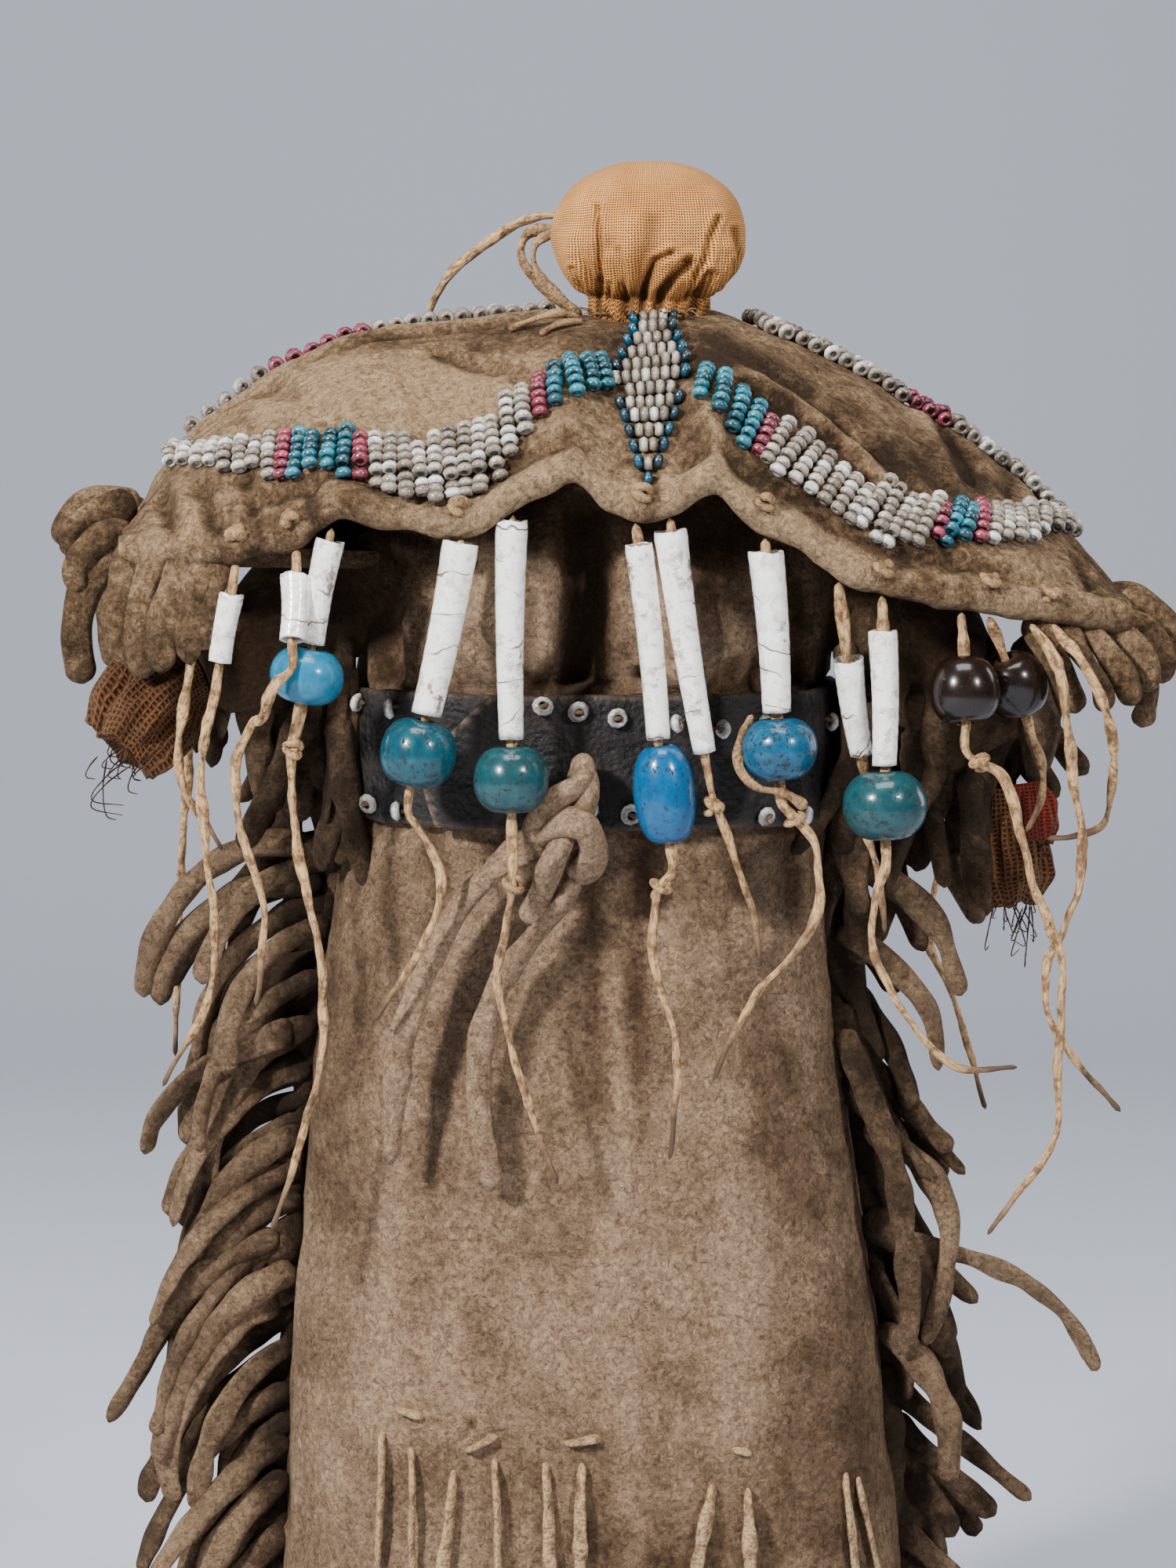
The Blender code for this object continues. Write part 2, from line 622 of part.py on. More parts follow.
# Side fringes, cut from a welt sewn into each side seam of the skirt
def make_side_fringe(name, side, count, seed):
    rng = random.Random(seed)
    top = WAIST_HEIGHT - BELT_HEIGHT / 2 - 0.003
    seam = []
    for step in range(7):
        z = lerp(top, 0.010, step / 6)
        wide, _, lean = dress_half(z)
        seam.append(Vector((lean + side * (wide * 1.005 + GAP * 3 + SEAM_WIDTH / 2), -0.004, z)))
    welt = strip(name, seam, SEAM_WIDTH, SEAM_WIDTH * 0.9, FRINGE_HIDE)
    strips = []
    for number in range(count):
        share = (number + 0.3) / count
        z = lerp(top - 0.002, 0.018, share)
        wide, _, lean = dress_half(z)
        root = Vector((lean + side * (wide + GAP * 4 + SEAM_WIDTH * 0.45), -0.004, z))
        length = SIDE_STRIP_LENGTH * rng.uniform(0.8, 1.12)
        length = min(length, (z - 0.002) / 0.95)
        away = Vector((side, rng.uniform(-0.35, 0.25), 0))
        spread = lerp(0.95, 0.70, share) * rng.uniform(0.8, 1.1)
        route = strip_route(root, away, (spread, 0.10, lerp(0.55, 0.85, share)), length)
        strips.append(strip(f"{name}_{number}", route, SIDE_STRIP_WIDTH, STRIP_THICKNESS, FRINGE_HIDE))
    unite(welt, strips, f"{name}_strips")
    return welt


# Hanging thongs. A route is chosen by hand, in metres: first the hole in the rim and the foot of the
# straight stretch that carries the shell and bead, then the free tail.
HANGING = {
    "thong_left_outer": [(-0.0628, -0.0361, 0.2351), (-0.0666, -0.0370, 0.2138), (-0.0681, -0.0375, 0.2061),
                         (-0.0692, -0.0375, 0.1973), (-0.0683, -0.0375, 0.1837), (-0.0671, -0.0375, 0.1715),
                         (-0.0685, -0.0375, 0.1592), (-0.0763, -0.0375, 0.1442)],
    "thong_left_short": [(-0.0672, -0.0345, 0.2347), (-0.0705, -0.0345, 0.2200), (-0.0725, -0.0345, 0.2090),
                         (-0.0732, -0.0340, 0.1980), (-0.0660, -0.0335, 0.1850)],
    "thong_pair_left_a": [(-0.0525, -0.0390, 0.2372), (-0.0532, -0.0466, 0.2176), (-0.0553, -0.0482, 0.2155),
                          (-0.0568, -0.0474, 0.2125), (-0.0576, -0.0450, 0.2098), (-0.0585, -0.0430, 0.2085),
                          (-0.0601, -0.0415, 0.2075), (-0.0628, -0.0405, 0.2015), (-0.0630, -0.0400, 0.1960),
                          (-0.0622, -0.0400, 0.1896), (-0.0585, -0.0400, 0.1761), (-0.0590, -0.0400, 0.1653),
                          (-0.0600, -0.0400, 0.1585)],
    "thong_pair_left_b": [(-0.0462, -0.0403, 0.2413), (-0.0522, -0.0400, 0.2078), (-0.0533, -0.0400, 0.2035),
                          (-0.0535, -0.0400, 0.1985), (-0.0531, -0.0405, 0.1912), (-0.0514, -0.0415, 0.1804),
                          (-0.0488, -0.0415, 0.1682), (-0.0482, -0.0415, 0.1533), (-0.0517, -0.0415, 0.1370),
                          (-0.0572, -0.0415, 0.1199)],
    "thong_inner_left": [(-0.0240, -0.0430, 0.2397), (-0.0335, -0.0430, 0.1935), (-0.0322, -0.0430, 0.1905),
                         (-0.0293, -0.0430, 0.1862), (-0.0277, -0.0430, 0.1804), (-0.0300, -0.0430, 0.1710),
                         (-0.0395, -0.0430, 0.1563)],
    "thong_middle_left": [(-0.0155, -0.0433, 0.2434), (-0.0157, -0.0440, 0.1893), (-0.0154, -0.0450, 0.1804),
                          (-0.0180, -0.0450, 0.1642), (-0.0159, -0.0450, 0.1533), (-0.0119, -0.0450, 0.1397),
                          (-0.0076, -0.0450, 0.1285)],
    "thong_middle": [(0.0057, -0.0435, 0.2423), (0.0118, -0.0440, 0.1836), (0.0100, -0.0445, 0.1800),
                     (0.0086, -0.0445, 0.1740), (0.0089, -0.0445, 0.1669), (0.0125, -0.0445, 0.1533),
                     (0.0127, -0.0445, 0.1438), (0.0114, -0.0445, 0.1326)],
    "thong_middle_right": [(0.0112, -0.0435, 0.2430), (0.0183, -0.0435, 0.1975), (0.0192, -0.0430, 0.1940),
                           (0.0209, -0.0420, 0.1899), (0.0236, -0.0400, 0.1818), (0.0263, -0.0395, 0.1737),
                           (0.0274, -0.0395, 0.1655)],
    "thong_inner_right": [(0.0276, -0.0432, 0.2397), (0.0309, -0.0435, 0.1945), (0.0330, -0.0440, 0.1920),
                          (0.0362, -0.0440, 0.1875), (0.0372, -0.0445, 0.1820), (0.0368, -0.0445, 0.1750),
                          (0.0324, -0.0445, 0.1682), (0.0257, -0.0445, 0.1601), (0.0188, -0.0445, 0.1463)],
    "thong_pair_right_a": [(0.0402, -0.0423, 0.2320), (0.0452, -0.0356, 0.1988), (0.0450, -0.0330, 0.1945),
                           (0.0455, -0.0335, 0.1890), (0.0468, -0.0360, 0.1850), (0.0480, -0.0375, 0.1790),
                           (0.0490, -0.0375, 0.1710)],
    "thong_pair_right_b": [(0.0478, -0.0414, 0.2297), (0.0486, -0.0430, 0.1842), (0.0480, -0.0435, 0.1815),
                           (0.0466, -0.0435, 0.1765), (0.0465, -0.0435, 0.1689), (0.0499, -0.0435, 0.1615),
                           (0.0553, -0.0435, 0.1533), (0.0621, -0.0435, 0.1482), (0.0715, -0.0435, 0.1483)],
    "thong_brown_bead_a": [(0.0616, -0.0387, 0.2269), (0.0622, -0.0455, 0.2038), (0.0642, -0.0460, 0.2018),
                           (0.0685, -0.0450, 0.1985), (0.0715, -0.0440, 0.1894), (0.0743, -0.0430, 0.1791),
                           (0.0768, -0.0420, 0.1730), (0.0790, -0.0420, 0.1676), (0.0791, -0.0420, 0.1559),
                           (0.0785, -0.0420, 0.1468), (0.0783, -0.0420, 0.1358), (0.0735, -0.0420, 0.1285),
                           (0.0667, -0.0420, 0.1189)],
    "thong_brown_bead_b": [(0.0665, -0.0374, 0.2259), (0.0752, -0.0305, 0.2035), (0.0762, -0.0302, 0.1995),
                           (0.0762, -0.0305, 0.1932), (0.0737, -0.0310, 0.1878)],
    "thong_right_long": [(0.0738, -0.0350, 0.2245), (0.0782, -0.0400, 0.2171), (0.0800, -0.0400, 0.2062),
                         (0.0812, -0.0380, 0.1967), (0.0828, -0.0365, 0.1893), (0.0828, -0.0360, 0.1808),
                         (0.0802, -0.0360, 0.1722), (0.0774, -0.0360, 0.1662), (0.0768, -0.0360, 0.1600),
                         (0.0781, -0.0360, 0.1545), (0.0805, -0.0360, 0.1508), (0.0837, -0.0360, 0.1465),
                         (0.0902, -0.0360, 0.1395)],
    "thong_right_outer": [(0.0775, -0.0337, 0.2239), (0.0815, -0.0385, 0.2195), (0.0845, -0.0400, 0.2140),
                          (0.0874, -0.0380, 0.2072), (0.0884, -0.0340, 0.2004), (0.0874, -0.0300, 0.1894),
                          (0.0820, -0.0290, 0.1868), (0.0775, -0.0290, 0.1864)],
    "back_thong_left": [(-0.0705, 0.0332, 0.2344), (-0.0740, 0.0350, 0.2130), (-0.0765, 0.0360, 0.1970),
                        (-0.0780, 0.0360, 0.1800), (-0.0790, 0.0360, 0.1600), (-0.0800, 0.0360, 0.1380)],
    "back_thong_right": [(0.0660, 0.0375, 0.2260), (0.0655, 0.0400, 0.2050), (0.0650, 0.0410, 0.1800),
                         (0.0615, 0.0410, 0.1600), (0.0660, 0.0410, 0.1490), (0.0725, 0.0410, 0.1270)],
}
# Thongs whose first stretch is straight because a shell or a bead is strung on it.
STRAIGHT_STEPS = 5


def hung(name):
    """The route with its first point brought to the underside of the rolled rim, a gap below it."""
    route = [Vector(p) for p in HANGING[name]]
    side = -1 if route[0].y < 0 else 1
    rim = rim_centre(route[0].x, side)
    start = Vector((route[0].x, rim.y, rim.z - RIM_RADIUS - HANG_GAP))
    shift = start - route[0]
    route = [p + shift for p in route]
    if not any(row[0] == name for row in list(SHELLS.values()) + list(BEADS.values())):
        return route
    straight = [route[0].lerp(route[1], step / STRAIGHT_STEPS) for step in range(STRAIGHT_STEPS)]
    return straight + route[1:]


def strung_line(name, from_drop, to_drop, count):
    """Points on a thong's straight stretch, between two drops below its hole."""
    route = hung(name)
    along = (route[1] - route[0]).normalized()
    return [route[0] + along * lerp(from_drop, to_drop, step / (count - 1)) for step in range(count)]


BORE = THONG_DIAMETER / 2 + BORE_CLEARANCE

# Each shell: its thong, how far its top hangs below the rim, its length, and its top and bottom widths.
SHELLS = {
    "shell_left_outer": ("thong_left_outer", 0.0055, 0.0122, 0.0042, 0.0040),
    "shell_pair_left_a": ("thong_pair_left_a", 0.0045, 0.0116, 0.0052, 0.0042),
    "shell_pair_left_b": ("thong_pair_left_b", 0.0022, 0.0183, 0.0050, 0.0042),
    "shell_inner_left": ("thong_inner_left", 0.0008, 0.0306, 0.0060, 0.0052),
    "shell_middle_left": ("thong_middle_left", 0.0008, 0.0380, 0.0054, 0.0043),
    "shell_middle": ("thong_middle", 0.0035, 0.0343, 0.0048, 0.0043),
    "shell_middle_right": ("thong_middle_right", 0.0020, 0.0392, 0.0054, 0.0042),
    "shell_inner_right": ("thong_inner_right", 0.0023, 0.0281, 0.0058, 0.0050),
    "shell_pair_right_a": ("thong_pair_right_a", 0.0137, 0.0175, 0.0052, 0.0042),
    "shell_pair_right_b": ("thong_pair_right_b", 0.0060, 0.0235, 0.0050, 0.0042),
}

# Each bead: the thong through it, the shell it hangs against, its width and its height.
BEADS = {
    "bead_light_blue": ("thong_pair_left_b", "shell_pair_left_b", 0.0128, 0.0096),
    "bead_teal_left": ("thong_inner_left", "shell_inner_left", 0.0132, 0.0116),
    "bead_teal_middle": ("thong_middle_left", "shell_middle_left", 0.0130, 0.0114),
    "bead_bright_blue": ("thong_middle", "shell_middle", 0.0106, 0.0168),
    "bead_teal_right": ("thong_inner_right", "shell_inner_right", 0.0132, 0.0106),
    "bead_dark_teal": ("thong_pair_right_b", "shell_pair_right_b", 0.0146, 0.0118),
    "bead_brown_left": ("thong_brown_bead_a", None, 0.0122, 0.0114),
    "bead_brown_right": ("thong_brown_bead_b", None, 0.0114, 0.0108),
}


def make_shell(name):
    thong, drop, length, wide_top, wide_bottom = SHELLS[name]
    points = strung_line(thong, drop, drop + length, 3)
    outer = [max(lerp(wide_top, wide_bottom, k / 2) / 2, BORE + SHELL_WALL * 0.6) for k in range(3)]
    return turned_along(name, points, outer, BORE, SHELL_SIDES, SHELL)


def make_bead(name):
    thong, above, width, height = BEADS[name]
    top = BROWN_BEAD_DROP
    if above:
        top = SHELLS[above][1] + SHELLS[above][2] + BEAD_GAP
    points = strung_line(thong, top, top + height, 5)
    outer = [width / 2 * share for share in (0.46, 0.87, 1.0, 0.87, 0.46)]
    look = DARK_GLASS if "brown" in name else GLASS
    return turned_along(name, points, outer, BORE, BEAD_SIDES, look)


# Thongs behind the head and the belt tie's two tails
def on_yoke(x, y, diameter):
    return Vector((x, y, yoke_height(x, y) + diameter / 2 + GAP * 2))


def neck_arc_route():
    return [on_yoke(0.0010, 0.0185, THONG_DIAMETER), Vector((-0.0005, 0.0195, 0.2870)),
            Vector((-0.0030, 0.0208, 0.2928)), Vector((-0.0082, 0.0220, 0.2946)), Vector((-0.0153, 0.0222, 0.2932)),
            Vector((-0.0225, 0.0226, 0.2882)), Vector((-0.0275, 0.0232, 0.2840)), Vector((-0.0313, 0.0240, 0.2775)),
            on_yoke(-0.0355, 0.0262, THONG_DIAMETER)]


def neck_loop_route():
    return [on_yoke(-0.0052, 0.0105, THONG_DIAMETER), Vector((-0.0100, 0.0110, 0.2815)),
            Vector((-0.0143, 0.0120, 0.2868)), Vector((-0.0135, 0.0130, 0.2912)),
            Vector((-0.0085, 0.0140, 0.2922)), Vector((-0.0030, 0.0155, 0.2895)),
            Vector((-0.0012, 0.0152, 0.2845))]


def tie_tail_routes():
    centre = tie_centre()
    below = centre.z - TIE_KNOT_SIZE * 0.75 - TIE_DIAMETER * 0.45
    skirt = centre.y + 0.0005
    left = [Vector((centre.x - 0.0045, skirt, below)), Vector((-0.0160, skirt, 0.1835)),
            Vector((-0.0228, skirt - 0.0005, 0.1780)), Vector((-0.0282, skirt - 0.0010, 0.1700)),
            Vector((-0.0323, skirt - 0.0015, 0.1605)), Vector((-0.0351, skirt - 0.0015, 0.1506)),
            Vector((-0.0358, skirt - 0.0015, 0.1423)), Vector((-0.0365, skirt - 0.0010, 0.1306))]
    right = [Vector((centre.x + 0.0022, skirt, below)), Vector((-0.0055, skirt, 0.1785)),
             Vector((-0.0110, skirt - 0.0005, 0.1715)), Vector((-0.0172, skirt - 0.0010, 0.1630)),
             Vector((-0.0208, skirt - 0.0015, 0.1530)), Vector((-0.0212, skirt - 0.0015, 0.1423)),
             Vector((-0.0193, skirt - 0.0010, 0.1258))]
    return {"belt_tie_tail_left": left, "belt_tie_tail_right": right}


def main():
    yoke = make_yoke()
    surface = BVHTree.FromObject(yoke, bpy.context.evaluated_depsgraph_get())
    make_dress()
    make_head(surface)
    make_belt()
    make_tie_knot()
    make_hand("cloth_hand_left", -1)
    make_hand("cloth_hand_right", 1)
    make_side_fringe("side_fringe_left", -1, LEFT_STRIPS, 11)
    make_side_fringe("side_fringe_right", 1, RIGHT_STRIPS, 12)
    make_band("beadwork_front_left", FRONT_LEFT_LINE, FRONT_LANE_PITCH, surface)
    make_band("beadwork_front_right", FRONT_RIGHT_LINE, FRONT_LANE_PITCH, surface)
    make_band("beadwork_back_left", BACK_LEFT_LINE, BACK_LANE_PITCH, surface)
    make_band("beadwork_back_right", BACK_RIGHT_LINE, BACK_LANE_PITCH, surface)
    make_centre_beadwork(surface)
    for name in SHELLS:
        make_shell(name)
    for name in BEADS:
        make_bead(name)
    for name in HANGING:
        cord(name, hung(name), THONG_DIAMETER)
    cord("neck_thong_arc", neck_arc_route(), THONG_DIAMETER)
    cord("neck_thong_loop", neck_loop_route(), THONG_DIAMETER)
    for name, route in tie_tail_routes().items():
        cord(name, route, TIE_DIAMETER, HIDE)


main()
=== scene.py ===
# %% [markdown]
# # A beaded hide doll
# Plateau families made dolls like this one from what a grown person's dress was made of: smoked hide,
# pony beads, tusk shells and trade beads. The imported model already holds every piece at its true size.
# This lesson gives each piece its real surface. Everything is in metres, the front faces -Y, and the hem
# stands on z = 0.

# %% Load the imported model
import math
import random
import bmesh
import bpy
from mathutils import Matrix, Vector, noise


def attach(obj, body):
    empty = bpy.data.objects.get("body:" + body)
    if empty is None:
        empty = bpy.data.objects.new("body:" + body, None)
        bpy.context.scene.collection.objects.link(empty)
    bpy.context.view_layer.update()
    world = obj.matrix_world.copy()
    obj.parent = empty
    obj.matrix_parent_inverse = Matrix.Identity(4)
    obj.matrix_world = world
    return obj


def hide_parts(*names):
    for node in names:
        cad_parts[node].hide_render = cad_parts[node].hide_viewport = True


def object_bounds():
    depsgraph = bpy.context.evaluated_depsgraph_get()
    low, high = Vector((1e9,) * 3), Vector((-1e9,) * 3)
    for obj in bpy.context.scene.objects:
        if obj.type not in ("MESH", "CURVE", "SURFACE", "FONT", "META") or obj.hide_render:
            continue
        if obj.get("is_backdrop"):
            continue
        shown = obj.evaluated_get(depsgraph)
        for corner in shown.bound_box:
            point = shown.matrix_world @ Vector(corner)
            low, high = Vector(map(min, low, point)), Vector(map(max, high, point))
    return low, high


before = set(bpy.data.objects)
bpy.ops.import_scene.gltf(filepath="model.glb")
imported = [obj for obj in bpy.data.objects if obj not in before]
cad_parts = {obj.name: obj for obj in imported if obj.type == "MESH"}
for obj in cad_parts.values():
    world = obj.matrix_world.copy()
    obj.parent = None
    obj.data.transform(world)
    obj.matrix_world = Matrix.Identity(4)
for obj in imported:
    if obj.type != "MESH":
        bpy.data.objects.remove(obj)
cad_low, cad_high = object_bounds()
MM = 0.001
print("the packed model is", [round((b - a) / MM, 1) for a, b in zip(cad_low, cad_high)], "mm")

# %% [markdown]
# ## The camera
# The photograph was taken from a little above the yoke with a long lens. A long lens keeps upright things
# upright. The size of the shells and beads in the picture gave the distance.

# %% The camera
LENS = 120
DISTANCE = 0.939
LOOK_DOWN = math.radians(6)
AIM = Vector((-0.0025, 0, 0.193))

camera_data = bpy.data.cameras.new("camera")
camera_data.lens = LENS
camera_data.sensor_width = 36
camera_data.clip_start = 0.05
camera = bpy.data.objects.new("camera", camera_data)
camera.location = AIM + Vector((0, -math.cos(LOOK_DOWN), math.sin(LOOK_DOWN))) * DISTANCE
camera.rotation_euler = (math.pi / 2 - LOOK_DOWN, 0, 0)
bpy.context.scene.collection.objects.link(camera)
bpy.context.scene.camera = camera

# %% [markdown]
# ## Finishes
# A finish is a small tree of nodes. Three helpers keep the trees readable: one adds a node and joins its
# inputs, one turns a pattern into colours, and one turns patterns into relief.

# %% Helpers for node trees
def add_node(tree, kind, inputs, **settings):
    """Adds a node. Each input is a number, a colour, or another node's output."""
    made = tree.nodes.new(kind)
    for name, value in settings.items():
        setattr(made, name, value)
    for key, value in inputs.items():
        if isinstance(value, bpy.types.NodeSocket):
            tree.links.new(value, made.inputs[key])
        else:
            made.inputs[key].default_value = value
    return made


def speckle(tree, where, scale, detail=3.0, rough=0.6, swirl=0.0):
    """A cloudy pattern: scale is how many clouds fit in a metre. A swirl draws the clouds out into fibres."""
    return add_node(tree, "ShaderNodeTexNoise", {"Vector": where, "Scale": scale, "Detail": detail,
                                                 "Roughness": rough, "Distortion": swirl}).outputs["Fac"]


def ramp(tree, share, *stops):
    """Colours along a pattern: each stop is a place from 0 to 1 and a colour or a grey."""
    made = add_node(tree, "ShaderNodeValToRGB", {"Fac": share})
    for index, (place, colour) in enumerate(stops):
        colour = colour if isinstance(colour, tuple) else (colour,) * 3
        stop = made.color_ramp.elements[index] if index < 2 else made.color_ramp.elements.new(place)
        stop.position = place
        stop.color = (*colour, 1.0)
    return made.outputs["Color"]


def blend(tree, share, first, second, how="MIX"):
    colours = {"Fac": share}
    for key, value in (("Color1", first), ("Color2", second)):
        colours[key] = (*value, 1.0) if isinstance(value, tuple) else value
    return add_node(tree, "ShaderNodeMixRGB", colours, blend_type=how).outputs["Color"]


def maths(tree, how, first, second):
    return add_node(tree, "ShaderNodeMath", {0: first, 1: second}, operation=how).outputs[0]


def relief(tree, shader, *layers):
    """Stacks bumps, coarse to fine: each layer is a pattern and how high it stands, in metres."""
    normal = None
    for height, distance in layers:
        inputs = {"Height": height, "Distance": distance, "Strength": 1.0}
        if normal:
            inputs["Normal"] = normal
        normal = add_node(tree, "ShaderNodeBump", inputs).outputs["Normal"]
    tree.links.new(normal, shader.inputs["Normal"])


def new_finish(name, roughness, **sockets):
    """A material, its node tree, its shader, and the object's own coordinates."""
    made = bpy.data.materials.new(name)
    made.use_nodes = True
    tree = made.node_tree
    shader = tree.nodes["Principled BSDF"]
    shader.inputs["Roughness"].default_value = roughness
    for key, value in sockets.items():
        shader.inputs[key.replace("_", " ")].default_value = value
    where = add_node(tree, "ShaderNodeTexCoord", {}).outputs["Object"]
    return made, tree, shader, where


def attribute(tree, name, output="Fac"):
    return add_node(tree, "ShaderNodeAttribute", {}, attribute_name=name).outputs[output]


# %% [markdown]
# ## Smoked hide
# Brain-tanned hide has no grain side left. It's a felt of tiny fibres: matt, a little fuzzy, and blotched by
# smoke, handling and soot. Colour comes from broad clouds and smaller blotches. The flecks of single fibres
# and a few dark specks go over them. A painted attribute says where the hide is dirtier or lies in painted
# shade (above 0), and where it is paler or catches painted light (below 0). The nap is three layers of
# relief, and a little sheen lifts the edges as real fuzz does.

# %% Hide finishes
CLOUD_SHARE, STAIN_AND_SHADE_SHARE = 0.6, 0.26


def hide_finish(name, pale, middle, dark, mottle, nap=1.0):
    made, tree, shader, where = new_finish(name, 0.95, Sheen_Weight=0.12, Sheen_Roughness=0.5,
                                           Sheen_Tint=(0.80, 0.55, 0.33, 1.0), Specular_IOR_Level=0.15)
    clouds = speckle(tree, where, 60, 5.0, 0.65)
    blotches = speckle(tree, where, 380, 7.0, 0.85, 0.3)
    fibres = speckle(tree, where, 900, 5.0, 0.85, 0.8)
    share = maths(tree, "ADD", maths(tree, "MULTIPLY", clouds, CLOUD_SHARE),
                  maths(tree, "MULTIPLY", blotches, mottle))
    # Whatever the mottle, the middle of the pattern comes back to one half. Painted dirt and painted shade
    # move it from there.
    share = maths(tree, "SUBTRACT", share, (mottle + CLOUD_SHARE) / 2 - 0.5)
    share = maths(tree, "SUBTRACT", share, maths(tree, "MULTIPLY", attribute(tree, "stain_and_shade"), STAIN_AND_SHADE_SHARE))
    colour = ramp(tree, share, (0.26, dark), (0.64, pale), (0.44, middle))
    flecks = ramp(tree, fibres, (0.37, (0.36, 0.32, 0.28)), (0.62, (1.34, 1.29, 1.22)))
    colour = blend(tree, 1.0, colour, flecks, "MULTIPLY")
    specks = ramp(tree, speckle(tree, where, 480, 4.0, 0.8, 1.0), (0.62, 1.0), (0.74, 0.5))
    colour = blend(tree, 1.0, colour, specks, "MULTIPLY")
    tree.links.new(colour, shader.inputs["Base Color"])
    relief(tree, shader, (blotches, 0.0018 * nap), (speckle(tree, where, 620, 3.0, 0.7, 1.0), 0.0012 * nap),
           (fibres, 0.0008 * nap))
    return made


SKIRT_HIDE = hide_finish("skirt_hide", (0.50, 0.350, 0.232), (0.240, 0.154, 0.094), (0.070, 0.041, 0.023),
                         mottle=0.55)
YOKE_HIDE = hide_finish("yoke_hide", (0.56, 0.395, 0.240), (0.220, 0.138, 0.075), (0.040, 0.024, 0.013),
                        mottle=0.95, nap=1.3)
FRINGE_HIDE = hide_finish("fringe_hide", (0.36, 0.245, 0.155), (0.165, 0.106, 0.064), (0.034, 0.021, 0.013),
                          mottle=0.5)

# %% [markdown]
# ## Rawhide thongs
# The thongs are narrow strips twisted between finger and thumb. They're paler and harder than the hide, with
# dark spots where the hair side shows, and darker at their tips. Their relief follows the strand, so it
# reads the strip's own UV map: long thin streaks along its length.

# %% Thong finish
def thong_finish(name, pale, dark):
    made, tree, shader, where = new_finish(name, 0.72, Specular_IOR_Level=0.35)
    strip = add_node(tree, "ShaderNodeTexCoord", {}).outputs["UV"]
    stretched = add_node(tree, "ShaderNodeMapping", {"Vector": strip, "Scale": (9, 40, 1)}).outputs[0]
    streaks = speckle(tree, stretched, 1.0, 3.0, 0.6)
    spots = speckle(tree, where, 420, 4.0, 0.7)
    colour = ramp(tree, spots, (0.40, dark), (0.53, pale))
    colour = blend(tree, 1.0, colour, ramp(tree, streaks, (0.34, 0.40), (0.58, 1.1)), "MULTIPLY")
    colour = blend(tree, attribute(tree, "stain_and_shade"), colour, (0.075, 0.042, 0.022))
    tree.links.new(colour, shader.inputs["Base Color"])
    relief(tree, shader, (streaks, 0.0004), (speckle(tree, where, 1600), 0.00015))
    return made


RAWHIDE = thong_finish("rawhide", (0.52, 0.315, 0.145), (0.20, 0.105, 0.043))
SOFT_THONG = thong_finish("soft_thong", (0.44, 0.285, 0.145), (0.20, 0.115, 0.052))

# %% [markdown]
# ## Woven cloth
# The head is plain cotton and the hands are a coarse rust cloth. A plain weave is two sets of threads that
# pass over and under each other by turns. A checker says which set is on top in each cell, and two wave
# patterns give each set its rounded threads. Threads are counted on the UV map, in metres of cloth.

# %% Cloth finishes
def cloth_finish(name, pale, dark, pitch, height, soil_and_shade):
    made, tree, shader, where = new_finish(name, 0.9, Sheen_Weight=0.10, Sheen_Roughness=0.4,
                                           Sheen_Tint=(0.95, 0.65, 0.35, 1.0), Specular_IOR_Level=0.15)
    cloth = add_node(tree, "ShaderNodeTexCoord", {}).outputs["UV"]
    wander = add_node(tree, "ShaderNodeTexNoise", {"Vector": cloth, "Scale": 300.0}).outputs["Color"]
    cloth = add_node(tree, "ShaderNodeMixRGB", {"Fac": pitch * 0.9, "Color1": cloth, "Color2": wander},
                     blend_type="ADD").outputs["Color"]
    rounds = {}
    for side in ("X", "Y"):
        rounds[side] = add_node(tree, "ShaderNodeTexWave", {"Vector": cloth, "Scale": math.pi / 10 / pitch,
                                                            "Distortion": 0.0},
                                bands_direction=side, wave_profile="SIN").outputs["Fac"]
    over = add_node(tree, "ShaderNodeTexChecker", {"Vector": cloth, "Scale": 1.0 / pitch}).outputs["Fac"]
    # The thread on top at full height, and the one that dives under it a little lower: between them, a gap.
    below = 0.72
    weave = maths(tree, "MAXIMUM", blend(tree, over, rounds["X"], rounds["Y"]),
                  maths(tree, "MULTIPLY", blend(tree, over, rounds["Y"], rounds["X"]), below))
    patches = speckle(tree, where, 90, 4.0)
    colour = blend(tree, ramp(tree, patches, (0.35, 0.0), (0.7, 1.0)), pale, dark)
    # Painted shade darkens the gaps where one thread dives under another, and painted light brightens the tops of the
    # threads a little.
    colour = blend(tree, 1.0, colour, ramp(tree, weave, (0.30, (0.24, 0.17, 0.11)), (0.80, 1.15)), "MULTIPLY")
    colour = blend(tree, attribute(tree, "stain_and_shade"), colour, soil_and_shade)
    tree.links.new(colour, shader.inputs["Base Color"])
    relief(tree, shader, (speckle(tree, where, 260), 0.0004), (weave, height))
    return made


HEAD_CLOTH = cloth_finish("head_cotton", (0.78, 0.375, 0.118), (0.56, 0.235, 0.062),
                          pitch=0.00056, height=0.00030, soil_and_shade=(0.075, 0.030, 0.009))
RUST_CLOTH = cloth_finish("rust_cloth", (0.17, 0.070, 0.025), (0.085, 0.034, 0.013),
                          pitch=0.0010, height=0.0007, soil_and_shade=(0.022, 0.010, 0.005))
RED_CLOTH = cloth_finish("red_cloth", (0.22, 0.022, 0.012), (0.11, 0.012, 0.008),
                         pitch=0.0008, height=0.0005, soil_and_shade=(0.03, 0.010, 0.006))

# %% [markdown]
# ## Leather, shell and glass
# The belt is dyed leather, black and worn brown along its edges. Tusk shells are glossy ivory with faint
# growth rings, a few cracks across them, and brown dirt in patches and at both ends. The glass is trade
# glass: opaque, glossy, pitted, with grime in the pits. Pony beads take their colour from an attribute called
# tint, painted bead by bead.

